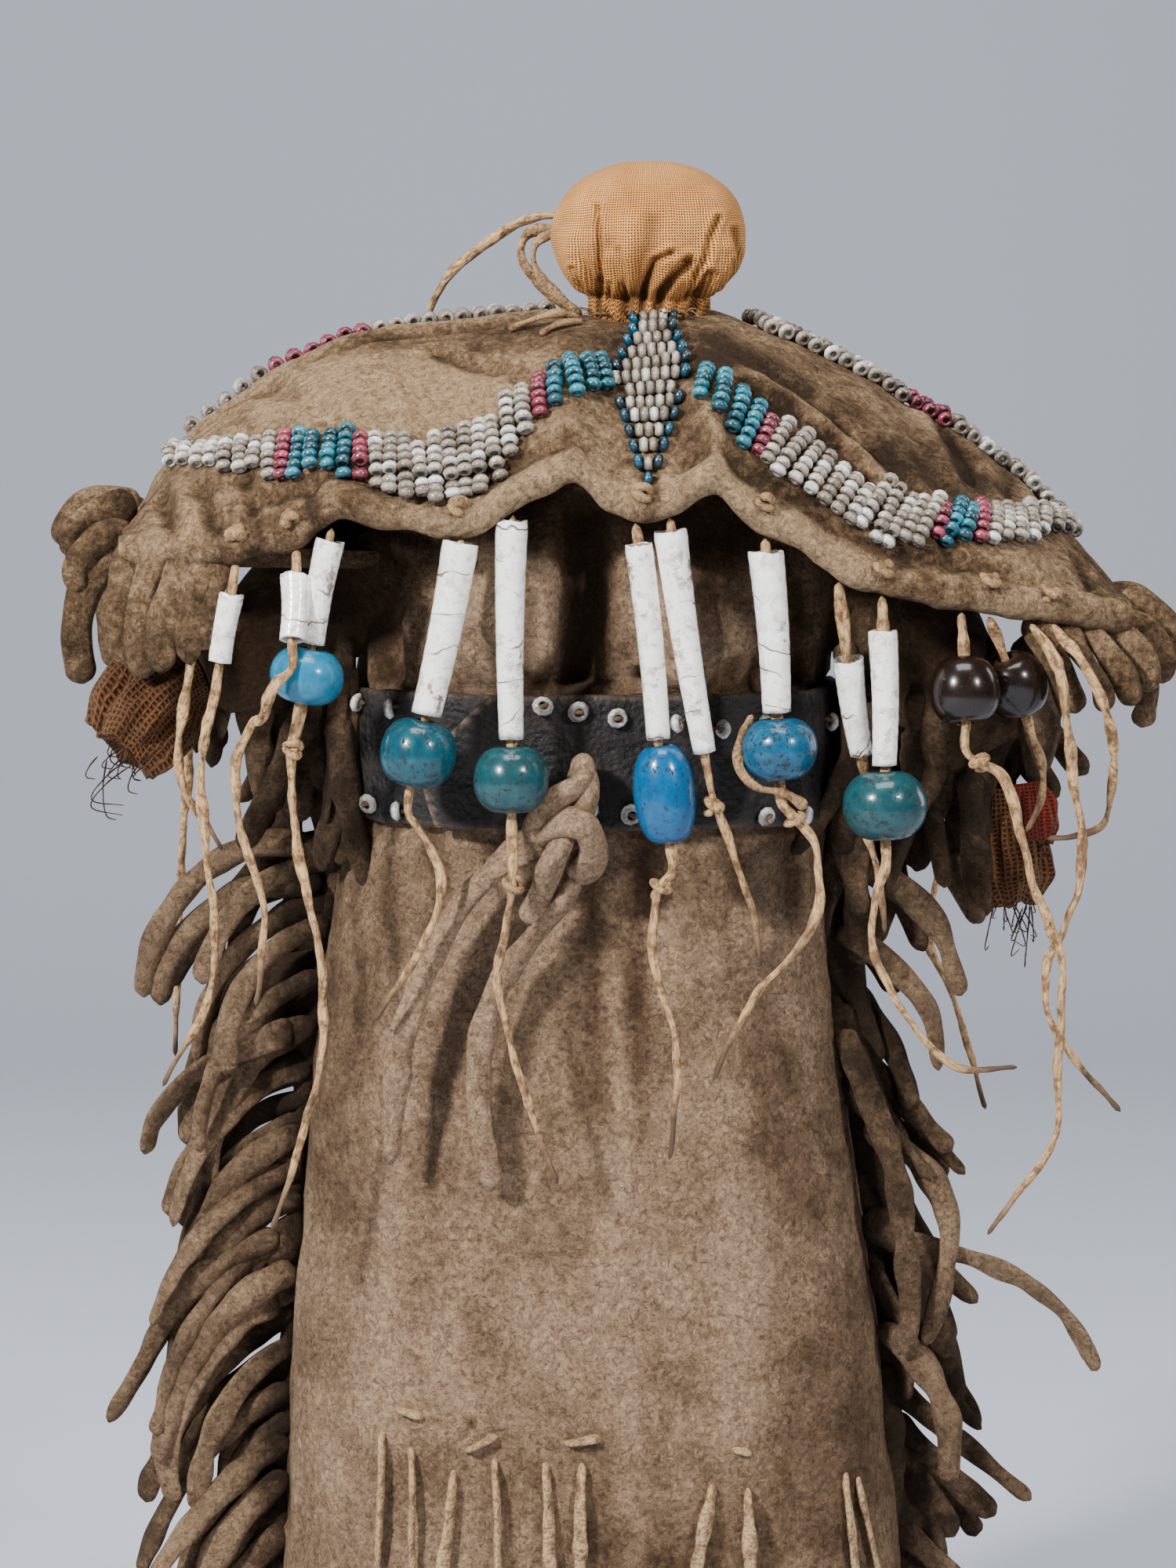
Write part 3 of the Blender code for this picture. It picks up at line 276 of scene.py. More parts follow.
# %% Leather, shell and glass finishes
def leather_finish():
    made, tree, shader, where = new_finish("belt_leather", 0.55, Specular_IOR_Level=0.30)
    grain = add_node(tree, "ShaderNodeTexVoronoi", {"Vector": where, "Scale": 900.0}).outputs["Distance"]
    wrinkles = speckle(tree, where, 170, 6.0, 0.7)
    colour = ramp(tree, wrinkles, (0.40, (0.0035, 0.003, 0.003)), (0.75, (0.026, 0.020, 0.016)))
    colour = blend(tree, attribute(tree, "stain_and_shade"), colour, (0.12, 0.085, 0.06))
    tree.links.new(colour, shader.inputs["Base Color"])
    rough = ramp(tree, wrinkles, (0.3, 0.42), (0.7, 0.80))
    tree.links.new(rough, shader.inputs["Roughness"])
    relief(tree, shader, (wrinkles, 0.0012), (grain, 0.00025))
    return made


def shell_finish():
    made, tree, shader, where = new_finish("tusk_shell", 0.22, Specular_IOR_Level=0.55, Coat_Weight=0.35,
                                           Coat_Roughness=0.12)
    shell = add_node(tree, "ShaderNodeTexCoord", {}).outputs["UV"]
    squeezed = add_node(tree, "ShaderNodeMapping", {"Vector": shell, "Scale": (120.0, 700.0, 1.0)}).outputs[0]
    rings = speckle(tree, squeezed, 0.55, 2.0, 0.5)
    patches = speckle(tree, where, 130, 2.0)
    lines = add_node(tree, "ShaderNodeTexWave",
                     {"Vector": shell, "Scale": 48.0, "Distortion": 9.0, "Detail": 4.0, "Detail Scale": 1.1},
                     bands_direction="Y").outputs["Fac"]
    # Thin dark lines across the shell, only where a cloud of patches lets them show.
    cracks = maths(tree, "MULTIPLY", ramp(tree, lines, (0.0, 1.0), (0.010, 0.0)),
                   ramp(tree, patches, (0.46, 0.0), (0.60, 1.0)))
    grime = ramp(tree, speckle(tree, where, 420, 6.0, 0.8), (0.50, 0.0), (0.60, 0.95))
    colour = blend(tree, ramp(tree, rings, (0.35, 0.0), (0.7, 1.0)), (0.95, 0.935, 0.90), (0.86, 0.83, 0.77))
    colour = blend(tree, cracks, colour, (0.17, 0.115, 0.075))
    colour = blend(tree, maths(tree, "MULTIPLY", grime, attribute(tree, "stain_and_shade")), colour, (0.20, 0.125, 0.07))
    tree.links.new(colour, shader.inputs["Base Color"])
    relief(tree, shader, (rings, 0.00012), (maths(tree, "MULTIPLY", cracks, -1.0), 0.0002))
    return made


def glass_finish(name, pale, middle, grime, chips):
    made, tree, shader, where = new_finish(name, 0.30, Specular_IOR_Level=0.35, Coat_Weight=0.25,
                                           Coat_Roughness=0.05)
    clouds = speckle(tree, where, 420, 5.0, 0.7)
    pits = speckle(tree, where, 900, 4.0, 0.75)
    colour = ramp(tree, clouds, (0.34, middle), (0.66, pale))
    dirt = ramp(tree, pits, (chips - 0.08, 0.0), (chips, 1.0))
    colour = blend(tree, dirt, colour, grime)
    colour = blend(tree, attribute(tree, "stain_and_shade"), colour, grime)
    tree.links.new(colour, shader.inputs["Base Color"])
    tree.links.new(ramp(tree, pits, (chips - 0.1, 0.24), (chips, 0.6)), shader.inputs["Roughness"])
    relief(tree, shader, (maths(tree, "MULTIPLY", dirt, -1.0), 0.0001))
    return made


def pony_finish():
    made, tree, shader, where = new_finish("pony_beads", 0.25, Specular_IOR_Level=0.55, Coat_Weight=0.3,
                                           Coat_Roughness=0.08)
    tint = attribute(tree, "tint", "Color")
    pits = speckle(tree, where, 1500, 3.0, 0.7)
    grime = ramp(tree, speckle(tree, where, 650, 4.0, 0.7), (0.46, 0.0), (0.62, 0.8))
    colour = blend(tree, grime, tint, blend(tree, 1.0, tint, (0.46, 0.38, 0.30), "MULTIPLY"))
    colour = blend(tree, ramp(tree, pits, (0.62, 0.0), (0.7, 0.7)), colour, (0.09, 0.065, 0.045))
    tree.links.new(colour, shader.inputs["Base Color"])
    relief(tree, shader, (pits, 0.00012))
    return made


BELT_LEATHER = leather_finish()
TUSK_SHELL = shell_finish()
# Each glass: pale, middle and grime colour, and how rare its chips are.
LIGHT_BLUE_GLASS, TEAL_GLASS, SEA_BLUE_GLASS, DEEP_TEAL_GLASS, BRIGHT_BLUE_GLASS, BROWN_GLASS = (
    glass_finish(*row) for row in [
        ("light_blue_glass", (0.014, 0.180, 0.30), (0.007, 0.120, 0.22), (0.03, 0.06, 0.07), 0.70),
        ("teal_glass", (0.006, 0.076, 0.103), (0.003, 0.039, 0.058), (0.006, 0.014, 0.017), 0.64),
        ("sea_blue_glass", (0.005, 0.098, 0.185), (0.002, 0.045, 0.090), (0.004, 0.010, 0.016), 0.62),
        ("deep_teal_glass", (0.010, 0.070, 0.080), (0.004, 0.034, 0.042), (0.006, 0.014, 0.015), 0.64),
        ("bright_blue_glass", (0.0012, 0.098, 0.235), (0.001, 0.062, 0.165), (0.008, 0.015, 0.03), 0.66),
        ("brown_glass", (0.012, 0.006, 0.004), (0.006, 0.003, 0.002), (0.05, 0.028, 0.015), 0.72),
    ])
PONY_GLASS = pony_finish()
print(len(bpy.data.materials), "finishes")

# %% [markdown]
# ## Bending a grid
# Most pieces here are soft tubes and skins. Each starts as one flat grid of quads, which brings its own UV
# map, and a small function says where every corner of it goes. Two edges that meet are welded, and the open
# ends are closed with a face.

# %% Helpers for meshes
def edges_of(verts):
    """The edges that touch these corners, each once, and always in the same order."""
    return list(dict.fromkeys(edge for vert in verts for edge in vert.link_edges))


def bend_grid(bm, across, along, place, weld=True, close=True):
    """Adds a grid to a bmesh and moves its corners: place(u, v) gives the spot, u and v from 0 to 1."""
    made = bmesh.ops.create_grid(bm, x_segments=across, y_segments=along, size=0.5, calc_uvs=True)["verts"]
    for vert in made:
        vert.co = place(vert.co.x + 0.5, vert.co.y + 0.5)
    if weld:
        bmesh.ops.remove_doubles(bm, verts=made, dist=1e-6)
        made = [vert for vert in made if vert.is_valid]
    if close:
        rim = [edge for edge in edges_of(made) if edge.is_boundary]
        if rim:
            bmesh.ops.holes_fill(bm, edges=rim, sides=0)
    return made


def new_shape():
    bm = bmesh.new()
    bm.loops.layers.uv.new("UVMap")
    return bm


def new_object(name, bm, finish):
    mesh = bpy.data.meshes.new(name)
    bm.to_mesh(mesh)
    bm.free()
    mesh.materials.append(finish)
    mesh.shade_smooth()
    made = bpy.data.objects.new(name, mesh)
    bpy.context.scene.collection.objects.link(made)
    return made


def add_piece(name, bm, finish, slot, stands_for=()):
    """Turns a bmesh into a piece that rides with the doll, takes a finish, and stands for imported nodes."""
    bmesh.ops.recalc_face_normals(bm, faces=bm.faces)
    piece = new_object(name, bm, finish)
    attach(piece, "root")
    if stands_for:
        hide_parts(*stands_for)
    return piece


def paint(piece, name, value):
    """Stores a number at each corner of a piece, worked out from the corner's place."""
    layer = piece.data.attributes.new(name, "FLOAT", "POINT")
    layer.data.foreach_set("value", [value(vert.co) for vert in piece.data.vertices])


def count(*pieces):
    for piece in pieces:
        piece.data.calc_loop_triangles()
        print(piece.name, len(piece.data.loop_triangles), "triangles")


def lumps(point, size, seed=0.0):
    """Soft lumps about a given size in metres, from -1 to 1."""
    return noise.noise(Vector(point) / size + Vector((seed, seed * 1.7, -seed)))


def in_metres(points):
    return [Vector(point) * MM for point in points]


def lift(height):
    return Vector((0, 0, height))


def lerp(a, b, t):
    return a + (b - a) * t


def ease(t):
    t = min(1.0, max(0.0, t))
    return t * t * (3 - 2 * t)


# %% [markdown]
# ## Lines and strands
# Every thong and fringe strip is a strand along a smooth line. The line runs through a few chosen points,
# evenly spaced. A direction across it is carried from point to point so that the strand only twists where
# it's told to.

# %% Helpers for strands
def smooth_line(route, spacing):
    """Evenly spaced points on one smooth curve through the route's points."""
    points = [Vector(p) for p in route]
    ends = [2 * points[0] - points[1]] + points + [2 * points[-1] - points[-2]]
    fine = []
    for a, b, c, d in zip(ends, ends[1:], ends[2:], ends[3:]):
        for step in range(12):
            t = step / 12
            fine.append(0.5 * (2 * b + (c - a) * t + (2 * a - 5 * b + 4 * c - d) * t * t
                               + (3 * b - a - 3 * c + d) * t ** 3))
    fine.append(points[-1])
    lengths = [0.0]
    for a, b in zip(fine, fine[1:]):
        lengths.append(lengths[-1] + (b - a).length)
    steps = max(3, round(lengths[-1] / spacing))
    result, index = [], 0
    for number in range(steps + 1):
        wanted = lengths[-1] * number / steps
        while index < len(fine) - 2 and lengths[index + 1] < wanted:
            index += 1
        share = (wanted - lengths[index]) / max(1e-9, lengths[index + 1] - lengths[index])
        result.append(fine[index].lerp(fine[index + 1], share))
    return result


def length_of(line):
    return sum((b - a).length for a, b in zip(line, line[1:]))


def frames(line, across=Vector((0, 1, 0))):
    """At each point: the point, and two ways across that carry on from the point before."""
    result = []
    for index, point in enumerate(line):
        ahead = (line[min(index + 1, len(line) - 1)] - line[max(index - 1, 0)]).normalized()
        across = across - ahead * across.dot(ahead)
        across = across.normalized() if across.length > 1e-9 else ahead.orthogonal().normalized()
        result.append((point, across, ahead.cross(across)))
    return result


def add_strand(bm, line, half, flat=0.5, twist=0.0, around=8, taper=0.4, lump=0.12, seed=0.0,
               face=Vector((0, 1, 0)), cup=0.0):
    """A flattened strand: half its width, its thickness as a share of that, and turns of twist. A cupped strand
    is hollow along one side, as a strip of hide that curls as it dries."""
    places = frames(line, face)
    last = len(places) - 1
    length = length_of(line)

    def place(u, v):
        index = round(v * last)
        point, across, other = places[index]
        t = index / last
        from_end = min(t, 1 - t) * length
        round_off = math.sqrt(max(0.02, 1 - max(0.0, 1 - from_end / half) ** 2))
        wide = half * lerp(1.0, taper, t ** 1.5) * round_off * (1 + lump * 2 * lumps(point, half * 2.5, seed))
        turn = math.tau * (twist * t + 0.06 * lumps(point, half * 8, seed + 3))
        a = math.cos(math.tau * u) * wide
        b = math.sin(math.tau * u) * wide * flat + cup * a * a / half
        return point + across * (a * math.cos(turn) - b * math.sin(turn)) \
            + other * (a * math.sin(turn) + b * math.cos(turn))

    return bend_grid(bm, around, last, place)


def add_knot(bm, centre, size, half, seed=0.0):
    """An overhand knot seen as a lump: a strand that goes round itself a turn and a half."""
    turns, steps = 1.6, 18
    route = []
    for step in range(steps + 1):
        turn = math.tau * turns * step / steps + seed
        route.append(centre + Vector((math.cos(turn) * size, math.sin(turn) * size * 0.8,
                                      size * (0.9 - 1.8 * step / steps) + size * 0.35 * math.sin(turn * 1.5))))
    return add_strand(bm, smooth_line(route, half * 0.5), half, 0.75, 0.3, 8, 0.9, 0.15, seed)


# %% [markdown]
# ## The hanging thongs
# Each thong hangs from a hole under the yoke's rolled rim, runs through its shell and bead, and ends bare. It
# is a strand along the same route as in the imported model, so its length is the real one. The strip is wider
# than it's thick, twisted by hand, and thinner towards its tip. Where the photograph shows a knot under a
# bead, the knot is part of the strand.

# %% Routes of the thongs, in millimetres
ROUTES = {
    "thong_left_outer": [(-62.8, -36.1, 235.1), (-63.6, -36.2, 230.8), (-64.3, -36.4, 226.6),
        (-65.1, -36.6, 222.3), (-65.8, -36.8, 218.1), (-66.6, -37, 213.8), (-68.1, -37.5, 206.1),
        (-69.2, -37.5, 197.3), (-68.3, -37.5, 183.7), (-67.1, -37.5, 171.5), (-68.5, -37.5, 159.2),
        (-76.3, -37.5, 144.2)],
    "thong_left_short": [(-67.2, -34.5, 234.7), (-70.5, -34.5, 220), (-72.5, -34.5, 209),
        (-73.2, -34, 198), (-66, -33.5, 185)],
    "thong_pair_left_a": [(-52.5, -39, 237.2), (-52.6, -40.5, 233.3), (-52.8, -42, 229.4),
        (-52.9, -43.6, 225.5), (-53.1, -45.1, 221.5), (-53.2, -46.6, 217.6), (-55.3, -48.2, 215.5),
        (-56.8, -47.4, 212.5), (-57.6, -45, 209.8), (-58.5, -43, 208.5), (-60.1, -41.5, 207.5),
        (-62.8, -40.5, 201.5), (-63, -40, 196), (-62.2, -40, 189.6), (-58.5, -40, 176.1),
        (-59, -40, 165.3), (-60, -40, 158.5)],
    "thong_pair_left_b": [(-46.2, -40.3, 241.3), (-47.4, -40.3, 234.6), (-48.6, -40.2, 227.9),
        (-49.8, -40.2, 221.2), (-51, -40.1, 214.5), (-52.2, -40, 207.8), (-53.3, -40, 203.5),
        (-53.5, -40, 198.5), (-53.1, -40.5, 191.2), (-51.4, -41.5, 180.4), (-48.8, -41.5, 168.2),
        (-48.2, -41.5, 153.3), (-51.7, -41.5, 137), (-57.2, -41.5, 119.9)],
    "thong_inner_left": [(-24, -43, 239.7), (-25.9, -43, 230.5), (-27.8, -43, 221.3), (-29.7, -43, 212),
        (-31.6, -43, 202.8), (-33.5, -43, 193.5), (-32.2, -43, 190.5), (-29.3, -43, 186.2),
        (-27.7, -43, 180.4), (-30, -43, 171), (-39.5, -43, 156.3)],
    "thong_middle_left": [(-15.5, -43.3, 243.4), (-15.5, -43.5, 232.6), (-15.6, -43.6, 221.8),
        (-15.6, -43.7, 211), (-15.7, -43.9, 200.1), (-15.7, -44, 189.3), (-15.4, -45, 180.4),
        (-18, -45, 164.2), (-15.9, -45, 153.3), (-11.9, -45, 139.7), (-7.6, -45, 128.5)],
    "thong_middle": [(5.7, -43.5, 242.3), (6.9, -43.6, 230.6), (8.1, -43.7, 218.8), (9.4, -43.8, 207.1),
        (10.6, -43.9, 195.4), (11.8, -44, 183.6), (10, -44.5, 180), (8.6, -44.5, 174), (8.9, -44.5, 166.9),
        (12.5, -44.5, 153.3), (12.7, -44.5, 143.8), (11.4, -44.5, 132.6)],
    "thong_middle_right": [(11.2, -43.5, 243), (12.6, -43.5, 233.9), (14, -43.5, 224.8),
        (15.5, -43.5, 215.7), (16.9, -43.5, 206.6), (18.3, -43.5, 197.5), (19.2, -43, 194),
        (20.9, -42, 189.9), (23.6, -40, 181.8), (26.3, -39.5, 173.7), (27.4, -39.5, 165.5)],
    "thong_inner_right": [(27.6, -43.2, 239.7), (28.3, -43.2, 230.7), (28.9, -43.3, 221.7),
        (29.6, -43.4, 212.6), (30.2, -43.4, 203.6), (30.9, -43.5, 194.5), (33, -44, 192),
        (36.2, -44, 187.5), (37.2, -44.5, 182), (36.8, -44.5, 175), (32.4, -44.5, 168.2),
        (25.7, -44.5, 160.1), (18.8, -44.5, 146.3)],
    "thong_pair_right_a": [(40.2, -42.3, 232), (41.2, -41, 225.3), (42.2, -39.6, 218.7),
        (43.2, -38.3, 212.1), (44.2, -37, 205.4), (45.2, -35.6, 198.8), (45, -33, 194.5),
        (45.5, -33.5, 189), (46.8, -36, 185), (48, -37.5, 179), (49, -37.5, 171)],
    "thong_pair_right_b": [(47.8, -41.4, 229.7), (48, -41.7, 220.6), (48.1, -42, 211.5),
        (48.3, -42.4, 202.4), (48.4, -42.7, 193.3), (48.6, -43, 184.2), (48, -43.5, 181.5),
        (46.6, -43.5, 176.5), (46.5, -43.5, 168.9), (49.9, -43.5, 161.5), (55.3, -43.5, 153.3),
        (62.1, -43.5, 148.2), (71.5, -43.5, 148.3)],
    "thong_brown_bead_a": [(61.6, -38.7, 226.9), (61.7, -40.1, 222.3), (61.8, -41.4, 217.7),
        (62, -42.8, 213.1), (62.1, -44.2, 208.4), (62.2, -45.5, 203.8), (64.2, -46, 201.8),
        (68.5, -45, 198.5), (71.5, -44, 189.4), (74.3, -43, 179.1), (76.8, -42, 173), (79, -42, 167.6),
        (79.1, -42, 155.9), (78.5, -42, 146.8), (78.3, -42, 135.8), (73.5, -42, 128.5), (66.7, -42, 118.9)],
    "thong_brown_bead_b": [(66.5, -37.4, 225.9), (68.2, -36, 221.4), (70, -34.6, 217),
        (71.7, -33.3, 212.5), (73.5, -31.9, 208), (75.2, -30.5, 203.5), (76.2, -30.2, 199.5),
        (76.2, -30.5, 193.2), (73.7, -31, 187.8)],
    "thong_right_long": [(73.8, -35, 224.5), (78.2, -40, 217.1), (80, -40, 206.2), (81.2, -38, 196.7),
        (82.8, -36.5, 189.3), (82.8, -36, 180.8), (80.2, -36, 172.2), (77.4, -36, 166.2), (76.8, -36, 160),
        (78.1, -36, 154.5), (80.5, -36, 150.8), (83.7, -36, 146.5), (90.2, -36, 139.5)],
    "thong_right_outer": [(77.5, -33.6, 224), (81.5, -38.4, 219.6), (84.5, -39.9, 214.1),
        (87.4, -37.9, 207.3), (88.4, -33.9, 200.5), (87.4, -29.9, 189.5), (82, -28.9, 186.9),
        (77.5, -28.9, 186.5)],
    "back_thong_left": [(-70.5, 33.2, 234.4), (-74, 35, 213), (-76.5, 36, 197), (-78, 36, 180),
        (-79, 36, 160), (-80, 36, 138)],
    "back_thong_right": [(66, 37.5, 226), (65.5, 40, 205), (65, 41, 180), (61.5, 41, 160), (66, 41, 149),
        (72.5, 41, 127)],
    "neck_thong_arc": [(1, 18.5, 273.2), (-0.5, 19.5, 287), (-3, 20.8, 292.8), (-8.2, 22, 294.6),
        (-15.3, 22.2, 293.2), (-22.5, 22.6, 288.2), (-27.5, 23.2, 284), (-31.3, 24, 277.5),
        (-35.5, 26.2, 263.8)],
    "neck_thong_loop": [(-5.2, 10.5, 276.8), (-10, 11, 281.5), (-14.3, 12, 286.8), (-13.5, 13, 291.2),
        (-8.5, 14, 292.2), (-3, 15.5, 289.5), (-1.2, 15.2, 284.5)],
    "belt_tie_tail_left": [(-10, -36.2, 186.1), (-16, -36.2, 183.5), (-22.8, -36.7, 178),
        (-28.2, -37.2, 170), (-32.3, -37.7, 160.5), (-35.1, -37.7, 150.6), (-35.8, -37.7, 142.3),
        (-36.5, -37.2, 130.6)],
    "belt_tie_tail_right": [(-3.3, -36.2, 186.1), (-5.5, -36.2, 178.5), (-11, -36.7, 171.5),
        (-17.2, -37.2, 163), (-20.8, -37.7, 153), (-21.2, -37.7, 142.3), (-19.3, -37.2, 125.8)],
}
# Where a knot stops a bead from sliding off, as the number of the route's point.
KNOTS = {"thong_pair_left_b": 6, "thong_middle_left": 6, "thong_middle": 6, "thong_middle_right": 6,
         "thong_inner_right": 6, "thong_brown_bead_a": 6}
THONG_DIAMETER = 2.4 * MM
TIE_DIAMETER = 5.8 * MM

# %% Make the thongs
def make_thong(name, number, twist, taper=0.55, diameter=THONG_DIAMETER, finish=RAWHIDE, slot="rawhide_thong",
               flat=0.68):
    route = in_metres(ROUTES[name])
    line = [point + 0.4 * MM * Vector([lumps(point, 6 * MM, number + axis) for axis in (0, 50, 100)])
            for point in smooth_line(route, diameter * 0.3)]
    bm = new_shape()
    twist *= 1 if number % 2 else -1
    add_strand(bm, line, diameter * 0.47, flat, twist, 12, taper, 0.15, number * 3.1)
    if name in KNOTS:
        add_knot(bm, route[KNOTS[name]] + lift(-0.2 * MM), 1.25 * MM, 0.85 * MM, number)
    piece = add_piece(f"{name}_strand", bm, finish, slot)
    tip = line[-1]
    if finish is RAWHIDE:
        paint(piece, "stain_and_shade", lambda point: 0.9 * ease(1 - (point - tip).length / (15 * MM))
              + 0.6 * max(0.0, lumps(point, 9 * MM, number)))
    return piece, line


thongs = {}
for number, name in enumerate(name for name in ROUTES if not name.startswith("belt_tie")):
    thongs[name] = make_thong(name, number, 1.2, 0.9) if "neck" in name else make_thong(name, number, 2.6)
for number, name in enumerate(("belt_tie_tail_left", "belt_tie_tail_right")):
    thongs[name] = make_thong(name, number + 40, 0.35, 0.72, TIE_DIAMETER, SKIRT_HIDE, "smoked_hide", 0.62)
    paint(thongs[name][0], "stain_and_shade", lambda point: -0.55 + 0.5 * lumps(point, 8 * MM, 4))
print(len(thongs), "thongs, the longest", round(max(length_of(line) for _, line in thongs.values()) / MM), "mm")

# %% [markdown]
# ## The tusk shells
# Dentalium is a tapered tube, slightly bent, open at both ends. One grid is bent into the whole wall: down
# the outside, round the lower lip, and back up inside. The ends are chipped, so the lips are uneven.

# %% Shells: top and bottom in millimetres, widths at both ends
SHELLS = {
    "shell_left_outer": ((-63.8, -36.3, 229.7), (-65.9, -36.8, 217.7), 4.6, 4.0),
    "shell_pair_left_a": ((-52.6, -40.6, 233.0), (-53.0, -44.8, 222.2), 5.4, 4.4),
    "shell_pair_left_b": ((-46.6, -40.3, 239.1), (-49.8, -40.2, 221.1), 5.2, 4.2),
    "shell_inner_left": ((-24.2, -43.0, 239.0), (-30.3, -43.0, 209.0), 6.4, 5.2),
    "shell_middle_left": ((-15.5, -43.3, 242.6), (-15.6, -43.8, 204.6), 5.7, 4.2),
    "shell_middle": ((6.1, -43.5, 238.8), (9.6, -43.8, 204.7), 4.9, 4.1),
    "shell_middle_right": ((11.5, -43.5, 241.0), (17.6, -43.5, 202.3), 5.9, 3.9),
    "shell_inner_right": ((27.8, -43.2, 237.4), (29.8, -43.4, 209.4), 6.3, 4.9),
    "shell_pair_right_a": ((42.2, -39.6, 218.7), (44.8, -36.2, 201.7), 5.4, 4.0),
    "shell_pair_right_b": ((47.9, -41.6, 223.7), (48.3, -42.4, 200.2), 5.2, 4.2),
}
SHELL_WALL = 0.55 * MM
# How much of the grid is the outside of the wall. The rest is the inside.
OUTSIDE = 0.62


def make_shell(name, number):
    top, bottom, wide_top, wide_bottom = SHELLS[name]
    top, bottom = in_metres((top, bottom))
    down = bottom - top
    side = down.cross(Vector((0, 1, 0))).normalized()
    front = down.cross(side).normalized()
    bend = 0.35 * MM if number % 2 else -0.3 * MM

    def place(u, v):
        outside = v < OUTSIDE
        t = v / OUTSIDE if outside else (1 - v) / (1 - OUTSIDE)
        radius = lerp(wide_top, wide_bottom, t ** 0.8) / 2 * MM * (1 + 0.012 * math.sin(t * 57 + number))
        if not outside:
            radius -= SHELL_WALL
        across, ahead = math.cos(math.tau * u), math.sin(math.tau * u)
        chip = 0.45 * MM * noise.noise(Vector((across, ahead, number * 2.0)) * 1.6)
        chipped = down.normalized() * chip * (1 - t if t < 0.5 else t) * (1 if t == 0 else 0.3)
        radius -= 0.12 * MM if v == 0 else 0.0
        return top + down * t + chipped + side * (across * radius + bend * math.sin(math.pi * t)) \
            + front * ahead * radius

    bm = new_shape()
    bend_grid(bm, 20, 46, place, close=False)
    shape = add_piece(f"{name}_tusk", bm, TUSK_SHELL, "ivory_shell", [name])
    # The map is stretched to metres of shell, and moved along so that no two shells share their rings.
    for loop in shape.data.uv_layers["UVMap"].data:
        loop.uv = (loop.uv[0] * 16 * MM + number * 0.37, loop.uv[1] * down.length / OUTSIDE + number * 0.013)
    paint(shape, "stain_and_shade", lambda point: 0.40 + 1.3 * max(0.0, lumps(point, 7 * MM, number))
          + ease(1 - min((point - top).length, (point - bottom).length) / (4 * MM)) * 0.6)
    return shape


strung = {name: make_shell(name, number) for number, name in enumerate(SHELLS)}
print(len(SHELLS), "shells")

# %% [markdown]
# ## The trade beads
# A large bead is a circle spun round its thong: fat in the middle and pierced. The circle is squashed to the
# bead's own profile, and the finished bead gets a few soft dents, because wound glass is never quite round.

# %% Large beads: top and bottom of the hole in millimetres, width, finish
LARGE_BEADS = {
    "bead_light_blue": ((-49.9, -40.2, 220.6), (-51.6, -40.1, 211.2), 12.8, LIGHT_BLUE_GLASS, "blue_glass"),
    "bead_teal_left": ((-30.4, -43.0, 208.5), (-32.8, -43.0, 197.1), 13.2, TEAL_GLASS, "blue_glass"),
    "bead_teal_middle": ((-15.6, -43.8, 204.1), (-15.7, -44.0, 192.7), 13.0, DEEP_TEAL_GLASS, "blue_glass"),
    "bead_bright_blue": ((9.7, -43.8, 204.2), (11.4, -44.0, 187.5), 10.6, BRIGHT_BLUE_GLASS, "blue_glass"),
    "bead_teal_right": ((29.8, -43.4, 208.9), (30.6, -43.4, 198.3), 13.2, SEA_BLUE_GLASS, "blue_glass"),
    "bead_dark_teal": ((48.3, -42.5, 199.7), (48.5, -42.9, 187.9), 14.6, DEEP_TEAL_GLASS, "blue_glass"),
    "bead_brown_left": ((61.8, -41.0, 219.1), (62.1, -44.3, 208.1), 12.2, BROWN_GLASS, "brown_glass"),
    "bead_brown_right": ((69.4, -35.1, 218.6), (73.1, -32.2, 208.9), 11.4, BROWN_GLASS, "brown_glass"),
}
HOLE_RADIUS = 1.45 * MM


def spin_bead(bm, radius, height, hole, around, section):
    """A bead round the Z axis: a squashed circle beside the axis, spun all the way round it."""
    made = bmesh.ops.create_circle(bm, segments=section, radius=1.0,
                                   matrix=Matrix.Rotation(math.pi / section, 4, "Z"))["verts"]
    for vert in made:
        # The outer half of the circle becomes the bead's cheek, and the inner half the wall of its hole.
        cheek = max(0.0, vert.co.x) ** 0.85
        vert.co = Vector((lerp(hole, radius, cheek), 0, vert.co.y * height / 2))
    bmesh.ops.spin(bm, geom=edges_of(made) + made, axis=(0, 0, 1), cent=(0, 0, 0), steps=around,
                   angle=math.tau, use_merge=True)


def make_large_bead(name, number):
    top, bottom, width, finish, slot = LARGE_BEADS[name]
    top, bottom = in_metres((top, bottom))
    bm = new_shape()
    spin_bead(bm, width / 2 * MM, (top - bottom).length, HOLE_RADIUS, 56, 40)
    bmesh.ops.remove_doubles(bm, verts=bm.verts, dist=1e-7)
    turn = Vector((0, 0, 1)).rotation_difference(top - bottom).to_matrix()
    for vert in bm.verts:
        dent = 1 + 0.022 * lumps(vert.co, 6 * MM, number * 5)
        vert.co = (top + bottom) / 2 + turn @ (vert.co * dent)
    bead = add_piece(f"{name}_glass", bm, finish, slot, [name])
    paint(bead, "stain_and_shade", lambda point: 0.9 * sum(
        ease(1 - ((point - end).length - HOLE_RADIUS) / (1.6 * MM)) for end in (top, bottom)))
    return bead


strung.update({name: make_large_bead(name, number) for number, name in enumerate(LARGE_BEADS)})
print(len(LARGE_BEADS), "large beads")

# %% Hide the imported thongs
for name, (piece, line) in thongs.items():
    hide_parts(name)
    length_of(line)

# %% [markdown]
# ## The yoke
# The yoke is one soft hide folded over the shoulders, with its front and back edges rolled. The grid wraps
# round its whole section: over the top from back to front, round the front roll, and back underneath. Folds
# are drawn as lines on the hide: each has a height, below 0 for a valley, and a width. Soft lumps of three
# sizes do the rest.

